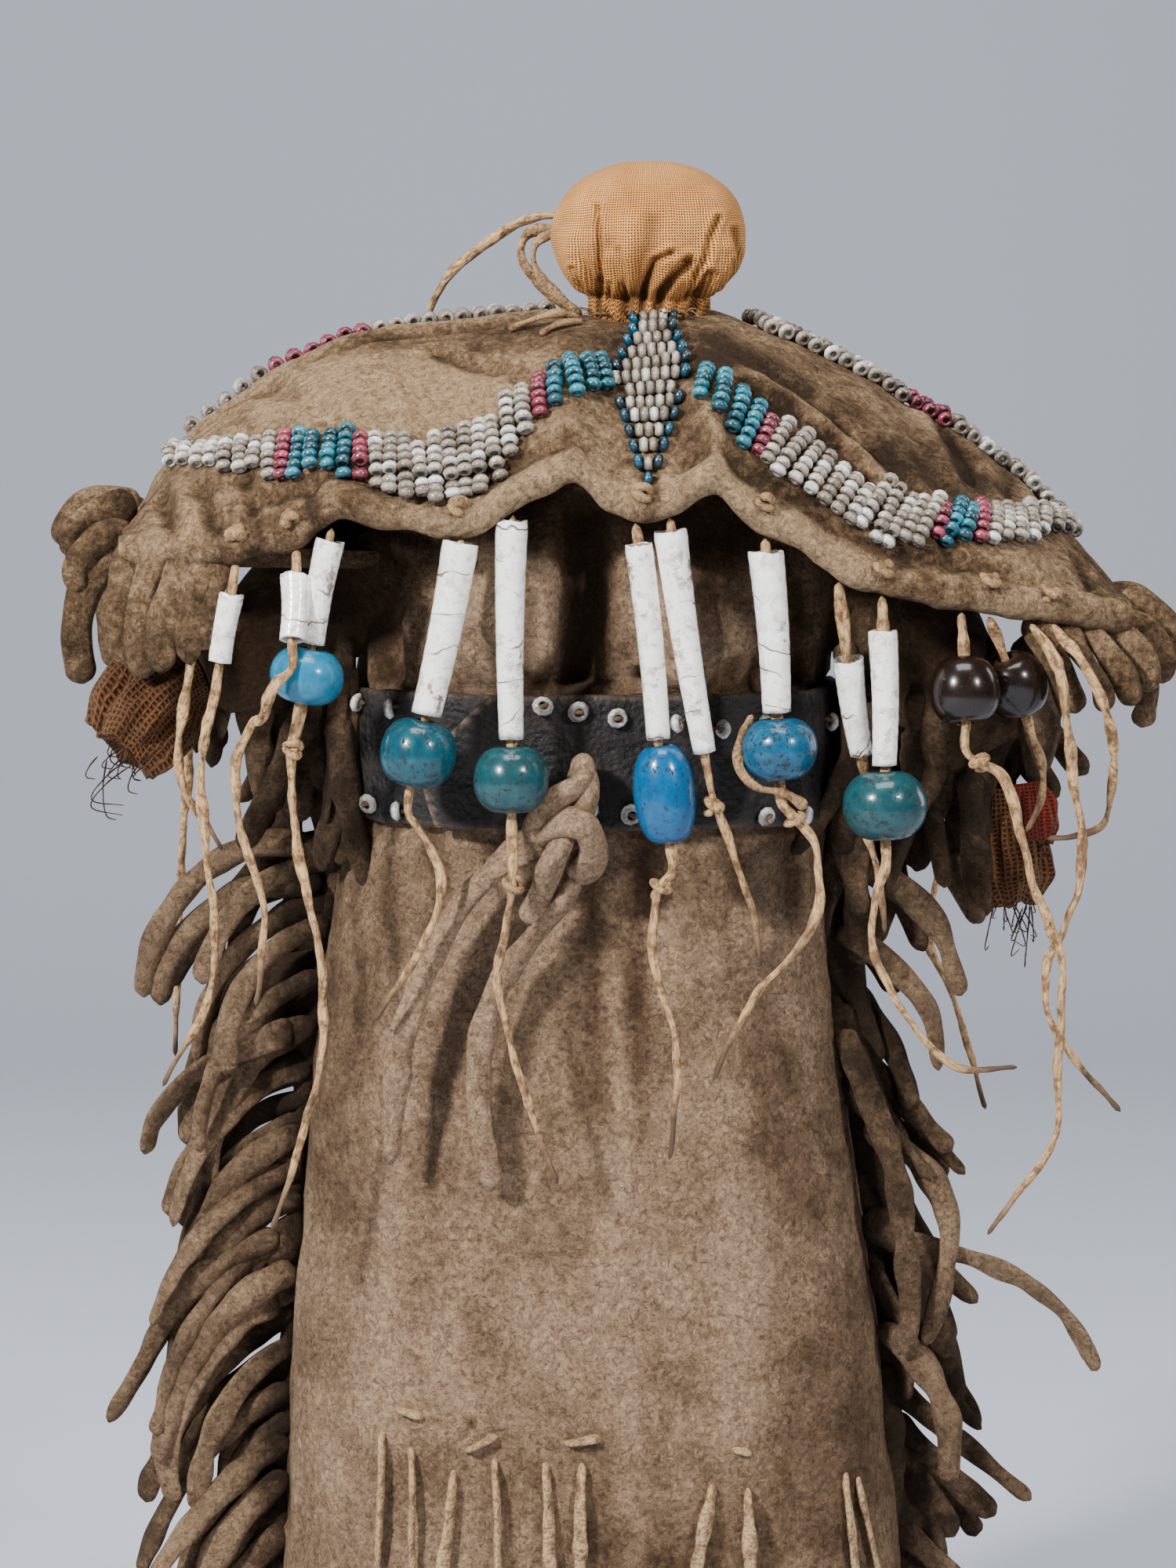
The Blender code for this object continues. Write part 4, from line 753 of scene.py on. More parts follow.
# %% The yoke's shape: sizes and lines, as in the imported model
YOKE_WIDTH, YOKE_X, YOKE_DEPTH = 176 * MM, 4 * MM, 92 * MM
YOKE_TOP, YOKE_RISE, YOKE_THICKNESS, RIM_RADIUS = 277 * MM, 55 * MM, 2.2 * MM, 2.5 * MM
RIM_WAVE = [(-1.0, 0.27), (-0.68, 0.31), (-0.56, 0.42), (-0.45, 0.39), (-0.36, 0.38), (-0.29, 0.39),
            (-0.21, 0.46), (-0.17, 0.50), (-0.10, 0.55), (-0.04, 0.46), (0.03, 0.43), (0.10, 0.45),
            (0.17, 0.51), (0.22, 0.44), (0.26, 0.39), (0.33, 0.34), (0.43, 0.23), (0.58, 0.17),
            (0.84, 0.10), (1.0, 0.06)]
SHOULDER_LINE = [(-1.0, 0.34), (-0.94, 0.47), (-0.86, 0.63), (-0.63, 0.87), (-0.31, 0.98), (0.0, 1.0),
                 (0.20, 1.0), (0.45, 0.82), (0.76, 0.51), (0.93, 0.25), (1.0, 0.12)]
# Folds: height and width in millimetres, then points as shares along the yoke and out to the rim.
YOKE_FOLDS = [
    (1.1, 2.4, [(-0.93, 0.06), (-0.80, 0.05), (-0.63, 0.05), (-0.50, 0.06), (-0.37, 0.04), (-0.16, 0.06)]),
    (-0.9, 1.3, [(-0.86, 0.22), (-0.70, 0.15), (-0.52, 0.17), (-0.37, 0.12), (-0.20, 0.16)]),
    (0.9, 1.3, [(-0.47, 0.46), (-0.44, 0.60), (-0.42, 0.72)]),
    (-0.9, 2.0, [(-0.72, 0.22), (-0.62, 0.50), (-0.57, 0.72), (-0.56, 0.86)]),
    (-1.0, 1.7, [(-0.37, 0.33), (-0.28, 0.46), (-0.18, 0.57), (-0.14, 0.66)]),
    (-1.0, 0.9, [(-0.31, 0.32), (-0.27, 0.36)]), (-1.5, 1.1, [(-0.22, 0.565), (-0.19, 0.61)]),
    (1.2, 2.2, [(-0.30, 0.55), (-0.21, 0.72), (-0.13, 0.88)]), (-1.1, 1.8, [(-0.18, 0.74), (-0.11, 0.98)]),
    (-1.1, 2.0, [(0.24, 0.62), (0.32, 0.61), (0.40, 0.63), (0.47, 0.74)]),
    (-1.2, 1.7, [(0.29, 0.47), (0.35, 0.49), (0.43, 0.53), (0.53, 0.59), (0.56, 0.70)]),
    (0.9, 2.2, [(0.24, 0.55), (0.37, 0.55), (0.46, 0.63), (0.51, 0.72)]),
    (-1.2, 2.2, [(0.65, 0.05), (0.68, 0.24), (0.69, 0.44)]), (-1.0, 1.8, [(0.19, 0.42), (0.25, 0.46)]),
    (1.0, 2.5, [(0.60, 0.10), (0.62, 0.35), (0.64, 0.55)]), (-0.9, 1.7, [(0.78, 0.15), (0.77, 0.42)]),
    (-1.3, 1.6, [(0.05, 0.93), (0.05, 1.0)]), (1.0, 1.8, [(0.12, 0.66), (0.16, 0.80), (0.18, 0.94)]),
    (-1.2, 1.5, [(-0.84, 0.70), (-0.80, 0.98)]), (-1.0, 1.4, [(-0.74, 0.78), (-0.72, 0.99)]),
    (-1.2, 1.5, [(-0.92, 0.60), (-0.89, 0.98)]), (-1.0, 1.5, [(-0.62, 0.90), (-0.60, 1.0)]),
    (-1.0, 1.5, [(0.90, 0.55), (0.93, 0.95)]), (-0.8, 1.5, [(0.62, 0.84), (0.66, 1.0)]),
    (-1.0, 1.8, [(-0.60, -0.50), (-0.45, -0.75), (-0.42, -0.95)]), (-1.1, 2.0, [(0.30, -0.45), (0.42, -0.72)]),
    (-1.2, 1.3, [(-0.72, 0.87), (-0.60, 0.90), (-0.46, 0.92), (-0.33, 0.93), (-0.20, 0.92), (-0.08, 0.93)]),
    (-1.1, 1.3, [(0.10, 0.93), (0.20, 0.92), (0.31, 0.93), (0.45, 0.94), (0.62, 0.94), (0.80, 0.92)]),
    (0.9, 2.6, [(-0.15, -0.45), (-0.10, -0.80)]), (-1.0, 2.2, [(0.05, -0.40), (0.02, -0.90)]),
]
# Dirt and pale places: how strong, then middle and reach as shares.
YOKE_STAINS = [
    (0.9, 0.00, 0.34, 0.18, 0.26), (1.1, 0.25, 0.48, 0.16, 0.20), (0.9, 0.46, 0.56, 0.24, 0.20),
    (-1.5, -0.38, 0.60, 0.20, 0.17), (-1.4, -0.55, 0.42, 0.16, 0.16), (-0.8, -0.70, 0.40, 0.12, 0.20),
    (0.9, -0.22, 0.26, 0.10, 0.12), (0.9, -0.58, 0.97, 0.14, 0.10), (0.5, 0.66, 0.40, 0.20, 0.20),
    (-0.7, 0.25, 1.0, 0.30, 0.06), (-0.9, -0.25, 1.0, 0.35, 0.07), (0.5, -0.85, 0.90, 0.10, 0.14),
    (0.6, 0.92, 0.60, 0.10, 0.50), (0.5, 0.10, -0.50, 0.60, 0.40), (-0.6, -0.50, -0.60, 0.25, 0.30),
    (-0.8, -0.12, 0.16, 0.10, 0.10), (0.6, -0.30, 0.88, 0.30, 0.06), (0.7, 0.40, 0.90, 0.30, 0.05),
]
SHARE_LENGTH, OUT_LENGTH = YOKE_WIDTH / 2, 52 * MM


def read_line(line, at):
    """The height of a smooth line through chosen points."""
    if at <= line[0][0]:
        return line[0][1]
    if at >= line[-1][0]:
        return line[-1][1]
    index = next(i for i in range(len(line) - 1) if at <= line[i + 1][0])
    (x0, y0), (x1, y1) = line[index], line[index + 1]
    before, after = line[max(index - 1, 0)], line[min(index + 2, len(line) - 1)]
    t = (at - x0) / (x1 - x0)
    m0 = (y1 - before[1]) / (x1 - before[0]) * (x1 - x0)
    m1 = (after[1] - y0) / (after[0] - x0) * (x1 - x0)
    return (2 * t ** 3 - 3 * t ** 2 + 1) * y0 + (t ** 3 - 2 * t ** 2 + t) * m0 \
        + (3 * t ** 2 - 2 * t ** 3) * y1 + (t ** 3 - t ** 2) * m1


def fold_height(x, y, folds, scale_x, scale_y):
    """How high the drawn folds stand at a place. A valley has a low swell along each side."""
    total = 0.0
    for height, width, points in folds:
        reach = width * MM * 3.2
        nearest = reach
        for (ax, ay), (bx, by) in zip(points, points[1:]):
            ax, ay, bx, by = ax * scale_x, ay * scale_y, bx * scale_x, by * scale_y
            if min(ax, bx) - reach > x or max(ax, bx) + reach < x or min(ay, by) - reach > y \
                    or max(ay, by) + reach < y:
                continue
            dx, dy = bx - ax, by - ay
            t = min(1.0, max(0.0, ((x - ax) * dx + (y - ay) * dy) / (dx * dx + dy * dy)))
            nearest = min(nearest, math.hypot(x - ax - dx * t, y - ay - dy * t))
        if nearest < reach:
            d = nearest / (width * MM)
            total += height * MM * (math.exp(-d * d) - 0.35 * math.exp(-(d - 1.8) ** 2))
    return total


def yoke_share(x):
    return (x - YOKE_X) / SHARE_LENGTH


def rim_height(x):
    return YOKE_TOP - YOKE_RISE + YOKE_RISE * read_line(RIM_WAVE, yoke_share(x))


def rim_depth(x):
    return YOKE_DEPTH / 2 * (1 - 0.37 * abs(yoke_share(x)) ** 3)


def yoke_surface(x, out):
    """The smooth yoke: out is 0 at the shoulder line, 1 at the front rim and -1 at the back rim."""
    shoulder = YOKE_TOP - YOKE_RISE + YOKE_RISE * read_line(SHOULDER_LINE, yoke_share(x))
    return Vector((x, -out * rim_depth(x), lerp(shoulder, rim_height(x) + RIM_RADIUS / 2, abs(out) ** 1.8)))


def yoke_normal(x, out):
    step = 0.02
    across = yoke_surface(x + 1.5 * MM, out) - yoke_surface(x - 1.5 * MM, out)
    ahead = yoke_surface(x, out + step) - yoke_surface(x, out - step)
    normal = across.cross(ahead).normalized()
    return normal if normal.z > 0 else -normal


def yoke_lumps(point):
    return 1.0 * MM * lumps(point, 17 * MM, 2) + 0.5 * MM * lumps(point, 7 * MM, 5) \
        + 0.22 * MM * lumps(point, 2.6 * MM, 9)


def yoke_fold(x, out):
    return fold_height(yoke_share(x) * SHARE_LENGTH, out * OUT_LENGTH, YOKE_FOLDS, SHARE_LENGTH, OUT_LENGTH)


def yoke_skin(x, out):
    """The yoke with its folds and lumps."""
    point = yoke_surface(x, out)
    return point + yoke_normal(x, out) * (yoke_fold(x, out) + yoke_lumps(point))


# %% Make the yoke
def yoke_section(x, v):
    """Round the section: v from 0 at the back rim, over the top, round the front roll and back below."""
    top, front, under = 0.56, 0.68, 0.90
    along = Vector((x, 0, 0))
    roll = RIM_RADIUS * (1.24 + 0.30 * lumps(along, 9 * MM, 4) + 0.15 * lumps(along, 3 * MM, 8))
    if v <= top:
        return yoke_skin(x, lerp(-0.945, 0.945, ease(v / top) * 0.35 + v / top * 0.65))
    if v <= front or v > under:
        side = -1 if v <= front else 1
        t = (v - top) / (front - top) if side < 0 else 1 - (v - under) / (1 - under)
        turn = math.radians(lerp(68, -150, t))
        sag = lift(-0.8 * MM * lumps(Vector((x, side, 0)), 6 * MM, 12))
        return Vector((x, side * (rim_depth(x) - RIM_RADIUS + math.cos(turn) * roll),
                       rim_height(x) + math.sin(turn) * roll)) + sag
    out = lerp(0.88, -0.88, (v - front) / (under - front))
    return yoke_skin(x, out) - lift(YOKE_THICKNESS)


bm = new_shape()
bend_grid(bm, 150, 300, lambda u, v: yoke_section(YOKE_X + (v - 0.5) * YOKE_WIDTH, u))
bmesh.ops.smooth_vert(bm, verts=bm.verts, factor=0.5, use_axis_x=True, use_axis_y=True, use_axis_z=True)
yoke = add_piece("yoke_hide", bm, YOKE_HIDE, "sooty_hide", ["yoke"])


def yoke_stain_and_shade(point):
    share, out = yoke_share(point.x), -point.y / rim_depth(point.x)
    total = 0.0
    for strength, x, y, reach_x, reach_y in YOKE_STAINS:
        total += strength * math.exp(-((share - x) / reach_x) ** 2 - ((out - y) / reach_y) ** 2)
    # The folds' valleys are painted darker, as painted shade, and their ridges paler, as painted light.
    valley = yoke_fold(point.x, out)
    return total * (0.75 + 0.6 * lumps(point, 6 * MM, 7)) - valley / MM * 0.5 + 0.5 * lumps(point, 22 * MM, 3)


paint(yoke, "stain_and_shade", yoke_stain_and_shade)
count(yoke)

# %% [markdown]
# ## Sewn pony beads
# A lane is a thread of beads laid across the band and sewn down at both ends, so each lane stands up as a
# little arch. All the beads share one shape, a circle spun round its hole, stamped again and again. Each
# stamp is given its own size, tilt and tint, because old glass beads are never alike.

# %% One pony bead, and how to stamp it
# White, pale for the belt, pink, teal and dark.
TINTS = {"w": [(0.74, 0.73, 0.70), (0.40, 0.345, 0.28), (0.26, 0.21, 0.165), (0.56, 0.51, 0.44),
               (0.32, 0.27, 0.21)],
         "b": [(0.78, 0.77, 0.74), (0.62, 0.59, 0.54)], "p": [(0.33, 0.045, 0.085), (0.24, 0.036, 0.062)],
         "t": [(0.030, 0.25, 0.33), (0.018, 0.165, 0.23), (0.010, 0.085, 0.12)],
         "d": [(0.004, 0.075, 0.135), (0.010, 0.035, 0.052), (0.004, 0.055, 0.095)]}
PONY_RADIUS, PONY_LENGTH = 1.45 * MM, 1.9 * MM

bm = new_shape()
spin_bead(bm, 1.07, 1.0, 0.46, 10, 6)
bmesh.ops.remove_doubles(bm, verts=bm.verts, dist=1e-4)
bmesh.ops.recalc_face_normals(bm, faces=bm.faces)
PONY_BEAD = bpy.data.meshes.new("pony_bead")
bm.to_mesh(PONY_BEAD)
bm.free()
dice = random.Random(7)


def stamp_bead(bm, centre, axis, kind, radius=PONY_RADIUS, length=PONY_LENGTH):
    """Adds one pony bead whose hole lies along axis."""
    tint_layer = bm.verts.layers.float_color.get("tint") or bm.verts.layers.float_color.new("tint")
    first = len(bm.verts)
    bm.from_mesh(PONY_BEAD)
    bm.verts.ensure_lookup_table()
    beads = bm.verts[first:]
    lean = Vector([dice.uniform(-0.09, 0.09) for _ in range(3)])
    turn = Vector((0, 0, 1)).rotation_difference((axis.normalized() + lean).normalized()).to_matrix().to_4x4()
    size = radius * dice.uniform(0.93, 1.05)
    scale = Matrix.Diagonal((size, size * dice.uniform(0.95, 1.03), length * dice.uniform(0.92, 1.06), 1))
    bmesh.ops.transform(bm, verts=beads, matrix=Matrix.Translation(centre) @ turn @ scale)
    shade = dice.choice(TINTS[kind])
    glow = dice.uniform(0.85, 1.12)
    for vert in beads:
        # A bead darkens towards its two ends: grime fills the grooves between beads, and painted shade darkens
        # them too.
        from_middle = abs((vert.co - centre).dot(axis.normalized())) / length
        clean_and_lit = glow * lerp(1.0, 0.25, ease((from_middle - 0.32) / 0.16))
        vert[tint_layer] = (*(channel * clean_and_lit for channel in shade), 1.0)


def lane_place(x, y):
    """The yoke's skin and normal straight above a place."""
    out = max(-0.99, min(0.99, -y / rim_depth(x)))
    return yoke_skin(x, out), yoke_normal(x, out)


def bead_lane(bm, x, y, across, kinds, radius, length=PONY_LENGTH, arch=0.7 * MM):
    """A lane of beads centred at a place. Its thread runs across, and dives into the hide at both ends."""
    for number, kind in enumerate(kinds):
        offset = number - (len(kinds) - 1) / 2
        spot = Vector((x, y, 0)) + across * offset * length
        skin, normal = lane_place(spot.x, spot.y)
        share = offset / max(1.0, len(kinds) / 2)
        thread = across - normal * 0.75 * share ** 3
        rise = radius * 0.72 + arch * (1 - share * share)
        stamp_bead(bm, skin + normal * rise, thread, kind, radius, length)


# %% The bands across the front and back
FRONT_LEFT_LINE = [(-0.90, 0.24), (-0.855, 0.46), (-0.77, 0.62), (-0.65, 0.75), (-0.51, 0.84),
                   (-0.39, 0.87), (-0.25, 0.83), (-0.15, 0.71), (-0.045, 0.57)]
FRONT_RIGHT_LINE = [(0.155, 0.66), (0.22, 0.75), (0.31, 0.79), (0.46, 0.82), (0.54, 0.82), (0.67, 0.75),
                    (0.78, 0.61), (0.855, 0.33), (0.88, 0.22)]
BACK_LEFT_LINE = [(-0.90, -0.07), (-0.60, -0.13), (-0.25, -0.10), (-0.16, -0.09)]
BACK_RIGHT_LINE = [(0.27, -0.03), (0.45, -0.05), (0.70, -0.07), (0.90, -0.05)]
# Each lane is a colour and how many beads it has.
FRONT_LEFT_LANES = "w4 w4 w4 w4 w5 w5 w4 w6 p6 t6 t5 t5 t6 p5 w6 w7 w8 w6 w8 w8 w8 w8 w7 w7 w6 p6 t6 t6 t5 t5"
FRONT_RIGHT_LANES = "t5 t6 t6 t6 p5 w6 w7 w6 w6 w6 w6 w6 w7 w7 w7 w6 w7 p4 t6 t5 p6 w6 w6 w6 w7 w6 w5 w4"
BACK_LEFT_LANES = "w3 w3 w3 w3 w3 w3 p4 p4 p4 p4 p4 p4 w5 w5 w5 w5 w5 w5 w5 w5 w5 w5 w5"
BACK_RIGHT_LANES = "w5 w5 w5 w5 w5 w5 w5 w5 w5 w5 p4 p4 p4 w4 w3 w3 w3 w3 w3 w3 w3 w3"


def make_band(name, line, lanes, leans):
    """Lanes run down the hide towards the rim. Leans gives how far each leans, in degrees, along the band."""
    lanes = lanes.split()
    bm = bmesh.new()
    for index, lane in enumerate(lanes):
        share = lerp(line[0][0], line[-1][0], index / (len(lanes) - 1))
        x, out = YOKE_X + share * SHARE_LENGTH, read_line(line, share)
        down = yoke_surface(x, out + math.copysign(0.03, out)) - yoke_surface(x, out)
        lean = math.radians(read_line(leans, index / (len(lanes) - 1)) + dice.uniform(-4, 4))
        across = Matrix.Rotation(lean, 3, yoke_normal(x, out)) @ down.normalized()
        spot = yoke_surface(x, out + dice.uniform(-0.010, 0.010))
        bead_lane(bm, spot.x, spot.y, across, lane[0] * int(lane[1]), PONY_RADIUS)
    return add_piece(f"beads_{name}", bm, PONY_GLASS, "pale_pony_beads", [name])


bands = [make_band("beadwork_front_left", FRONT_LEFT_LINE, FRONT_LEFT_LANES, [(0, -4), (0.5, 2), (1, 6)]),
         make_band("beadwork_front_right", FRONT_RIGHT_LINE, FRONT_RIGHT_LANES,
                   [(0, -8), (0.10, -14), (0.20, -26), (0.50, -24), (0.75, -8), (1, 0)]),
         make_band("beadwork_back_left", BACK_LEFT_LINE, BACK_LEFT_LANES, [(0, 6), (1, 6)]),
         make_band("beadwork_back_right", BACK_RIGHT_LINE, BACK_RIGHT_LANES, [(0, 34), (1, 24)])]
count(*bands)

# %% The diamond of beads in the middle
CENTRE_X = 9 * MM
# Each row: how far out it lies, and its beads from left to right.
CENTRE_ROWS = [(0.225, "dwwwd"), (0.305, "dwwwd"), (0.38, "dwwwwd"), (0.45, "dwwwwwd"), (0.515, "dwwwwwwd"),
               (0.58, "wwwwwwwd"), (0.635, "wwwww"), (0.69, "dwwwwwd"), (0.745, "dwwwwd"), (0.80, "dwwwd"),
               (0.85, "dwwd"), (0.90, "dwd"), (0.94, "d")]
bm = bmesh.new()
for out, kinds in CENTRE_ROWS:
    x, y = CENTRE_X - (out - 0.3) * 2 * MM, yoke_surface(CENTRE_X, out).y
    bead_lane(bm, x, y, Vector((1, 0, 0.04)), kinds, 1.30 * MM, 1.72 * MM, 0.4 * MM)
count(add_piece("beads_centre", bm, PONY_GLASS, "pale_pony_beads", ["centre_beadwork"]))

# %% [markdown]
# ## The head
# The head is a ball of stuffing tied into a square of cotton, so the cloth is smooth on top and gathers into
# folds towards the neck. It has no face. The rings of the grid go up the ball. The weave is counted from the
# front and from the back, so the threads stay the same size all over.

# %% Make the head
HEAD_WIDTH, HEAD_DEPTH, HEAD_HEIGHT, HEAD_X, HEAD_Y = 34.6 * MM, 30 * MM, 26.2 * MM, 8.3 * MM, -1 * MM
HEAD_MIDDLE = Vector((HEAD_X, HEAD_Y, YOKE_TOP + HEAD_HEIGHT / 2 + 0.9 * MM))
NECK_WIDTH, NECK_DEPTH = 21 * MM, 17.5 * MM
# Folds over the front, in millimetres: height, width, then points across and up.
HEAD_FOLDS = [
    (-0.9, 0.5, [(-1, 296.0), (-0.8, 289.3), (-0.4, 284), (-0.6, 277)]), (0.7, 2.4, [(4.5, 293), (4.0, 284)]),
    (-0.6, 1.6, [(8.6, 293), (7.6, 287), (6.8, 281)]), (0.6, 2.0, [(-5.5, 290), (-4.2, 281)]),
    (-1.2, 0.6, [(12.0, 288.0), (9.2, 286.5), (7.4, 281.6), (6.9, 277)]),
    (-1.6, 0.8, [(15.2, 286.5), (12.4, 283.8), (10.2, 280.9), (9.6, 277)]),
    (-0.9, 0.6, [(20.4, 294), (19.1, 290.8), (18.4, 287.6), (16.5, 284.4), (14.6, 280)]),
    (0.7, 2.2, [(21.5, 288), (19.6, 281)]), (-0.7, 0.6, [(23.4, 292), (24.0, 287), (21.8, 281)]),
    (-1.1, 0.6, [(18.7, 284.6), (16.6, 280.9), (15.8, 277)]),
    (-0.6, 0.5, [(3, 288.6), (4.1, 284.2), (3.8, 277)]), (-0.7, 0.5, [(-5.0, 285.3), (-3.6, 281.9), (-2.2, 277)]),
    (-0.8, 0.5, [(22.9, 286.6), (20.6, 282.0), (18.6, 278)]), (0.6, 1.3, [(1.2, 287), (1.6, 283), (1.8, 278)]),
    (0.7, 1.3, [(15.2, 282.6), (13.2, 279.6), (12.6, 277)]), (-0.5, 0.4, [(1.6, 283.0), (1.4, 281), (1.0, 277)]),
]


def head_place(u, v):
    turn, angle = math.radians(lerp(-84, 90, v)), math.tau * u
    c, s = math.cos(angle), math.sin(angle)
    share = math.cos(turn) ** 0.9 if v < 1 else 0.0
    gather = ease((-math.degrees(turn) - 2 - 16 * lumps((c, s, 0), 0.5, 3)) / 55)
    wide = lerp(HEAD_WIDTH / 2 * share, max(HEAD_WIDTH / 2 * share, NECK_WIDTH / 2), gather)
    deep = lerp(HEAD_DEPTH / 2 * share, max(HEAD_DEPTH / 2 * share, NECK_DEPTH / 2), gather)
    # Round pleats with a sharp crease between each two, of uneven width. They reach unevenly far up the ball.
    drift = 1.3 * lumps((c, s, 0.4 * v), 0.6, 8)
    pleats = abs(math.sin(8 * angle + drift)) + 0.5 * abs(math.sin(13.5 * angle - 2 * drift + 1))
    reach = -math.degrees(turn) + 34 + 46 * lumps((c, s, 0), 0.28, 5)
    fold = 1 + (gather * 0.075 + ease(reach / 80) * 0.022) * (pleats - 0.95)
    # The stuffing bulges on the right of the front.
    fold += 0.06 * math.exp(-((angle - math.radians(318)) / 0.35) ** 2) * math.cos(turn)
    point = HEAD_MIDDLE + Vector((wide * c * fold, deep * s * fold, HEAD_HEIGHT / 2 * math.sin(turn)))
    out = (point - HEAD_MIDDLE).normalized()
    rise = 0.35 * MM * lumps(point, 9 * MM, 6) + 0.12 * MM * lumps(point, 3 * MM, 2)
    if point.y < HEAD_Y:
        rise += fold_height(point.x, point.z, HEAD_FOLDS, MM, MM) * ease((HEAD_Y - point.y) / (5 * MM))
    point += out * rise
    # The gathered cloth rests on the yoke.
    floor_height = lane_place(point.x, point.y)[0].z + lerp(-0.3, 0.6, ease(v / 0.08)) * MM
    point.z = max(point.z, floor_height) if v > 0.03 else floor_height
    return point


bm = new_shape()
bend_grid(bm, 260, 170, head_place)
# Cloth is counted outwards from the middle of the front, and again from the middle of the back.
cloth = bm.loops.layers.uv.active
for face in bm.faces:
    back = 1 if face.calc_center_median().y > HEAD_Y else -1
    for loop in face.loops:
        way = loop.vert.co - HEAD_MIDDLE
        apart = math.acos(max(-1.0, min(1.0, way.y * back / max(1e-9, way.length)))) * HEAD_WIDTH / 2
        flat = Vector((way.x, way.z)).normalized() if Vector((way.x, way.z)).length > 1e-9 else Vector((0, 0))
        loop[cloth].uv = flat * apart + Vector((back * 0.2 + 0.5, 0.5))
head = add_piece("head_ball", bm, HEAD_CLOTH, "ochre_cotton", ["head"])


def head_soil_and_shade(point):
    # Painted shade: the cloth darkens low down where it gathers onto the yoke, towards its right side and its bottom,
    # and in the folds' valleys, while the folds' ridges are painted lighter. Soft patches of dirt go over it.
    low = ease(1 - (point.z - YOKE_TOP) / (10 * MM)) * (0.42 + 0.40 * lumps(point, 4 * MM, 4))
    valley = fold_height(point.x, point.z, HEAD_FOLDS, MM, MM) if point.y < HEAD_Y else 0.0
    shade = 0.16 * ease((point.x - 14 * MM) / (12 * MM)) + 0.14 * ease(1 - (point.z - 280 * MM) / (9 * MM))
    return min(0.95, max(0.0, low + shade - valley / MM * 0.6 + 0.16 * lumps(point, 6 * MM, 1)))


paint(head, "stain_and_shade", head_soil_and_shade)
count(head)

# %% [markdown]
# ## The dress
# The dress is one stuffed bag of hide, drawn in by the belt. A superellipse makes each ring rounder than a
# box and squarer than a circle. Its two side edges were read from the photograph. Above the belt the hide
# bulges into two soft cushions with a deep fold between them, and below the belt it opens into a long
# skirt.

# %% The dress's outline
WAIST_HEIGHT, BELT_HEIGHT, BELT_THICKNESS = 200 * MM, 23.5 * MM, 1.8 * MM
LEFT_EDGE = [(0, -58.5), (64, -57.2), (122, -54.3), (150, -51.6), (178, -47.0), (188, -44.2), (212, -44.2),
             (226, -42.5), (240, -42), (262, -38)]
RIGHT_EDGE = [(0, 56), (64, 53.2), (122, 46.5), (150, 42.2), (178, 39.6), (188, 40.2), (212, 40.6), (226, 42.3),
              (240, 44), (262, 42)]
DEPTH = [(0, 37.5), (60, 36), (120, 33), (160, 30.4), (188, 28.4), (212, 28.4), (224, 31), (240, 31), (262, 27)]
# Folds seen from the front, in millimetres: height, width, then points across and up.
DRESS_FOLDS = [
    (-4.5, 3.2, [(-3.2, 242), (-2.8, 226.3), (-3.6, 216.8), (-5.0, 212.7)]),
    (5.0, 8.5, [(-17, 231), (-19, 222)]), (4.6, 8.0, [(13, 226), (17, 219)]), (3.0, 5.0, [(26, 232), (30, 222)]),
    (-2.5, 2.2, [(-36.4, 233.1), (-39.1, 223.6), (-38, 214)]),
    (-1.8, 1.4, [(-21.5, 222), (-17.4, 216.8), (-10.6, 212.7)]),
    (-2.4, 2.2, [(30.7, 236), (34.5, 224.9), (33.2, 212.7)]), (-1.6, 1.3, [(7, 215.1), (12.1, 211.6)]),
    (-1.5, 1.2, [(-9.5, 216), (-13, 212)]), (1.2, 2.0, [(-9.3, 237.2), (-7.2, 229.1), (-9.3, 219.6)]),
    (-1.0, 0.8, [(-6.6, 216.8), (-1.1, 214.1), (4.3, 212.1)]), (-1.6, 1.4, [(22, 217), (20, 212)]),
    (0.9, 0.8, [(-45.8, 243.3), (-33.6, 239.9), (-22.8, 238.6), (-17.4, 241)]), (-1.4, 1.6, [(-28, 219), (-31, 212)]),
    (-0.9, 1.0, [(-48.5, 186), (-50.0, 168), (-51.6, 150), (-54.6, 122), (-57.0, 96), (-57, 60)]),
    (-0.8, 2.2, [(-30, 187), (-28, 176), (-29, 168)]), (-0.8, 2.0, [(-12, 187), (-11, 178)]),
    (-0.9, 2.4, [(9, 187), (8, 174)]), (-0.8, 2.0, [(22, 187), (24, 177)]), (-0.7, 2.0, [(33, 187), (34, 172)]),
    (0.6, 4.0, [(-35, 160), (-38, 120), (-40, 80)]), (0.5, 5.0, [(20, 150), (26, 120), (24, 80)]),
    (-1.1, 0.6, [(-24.0, 81.2), (-22.6, 84.2)]), (0.5, 3.0, [(5, 150), (2, 110), (6, 60)]),
]


# The power of the superellipse: 2 would be an ellipse, and a large one a box.
SQUARENESS = 2.5
# The shoulders round off from the first height to the second, in millimetres. The grid stops just short of it.
SHOULDERS_FROM, SHOULDERS_TO, DRESS_TOP = 214, 262, 261.5


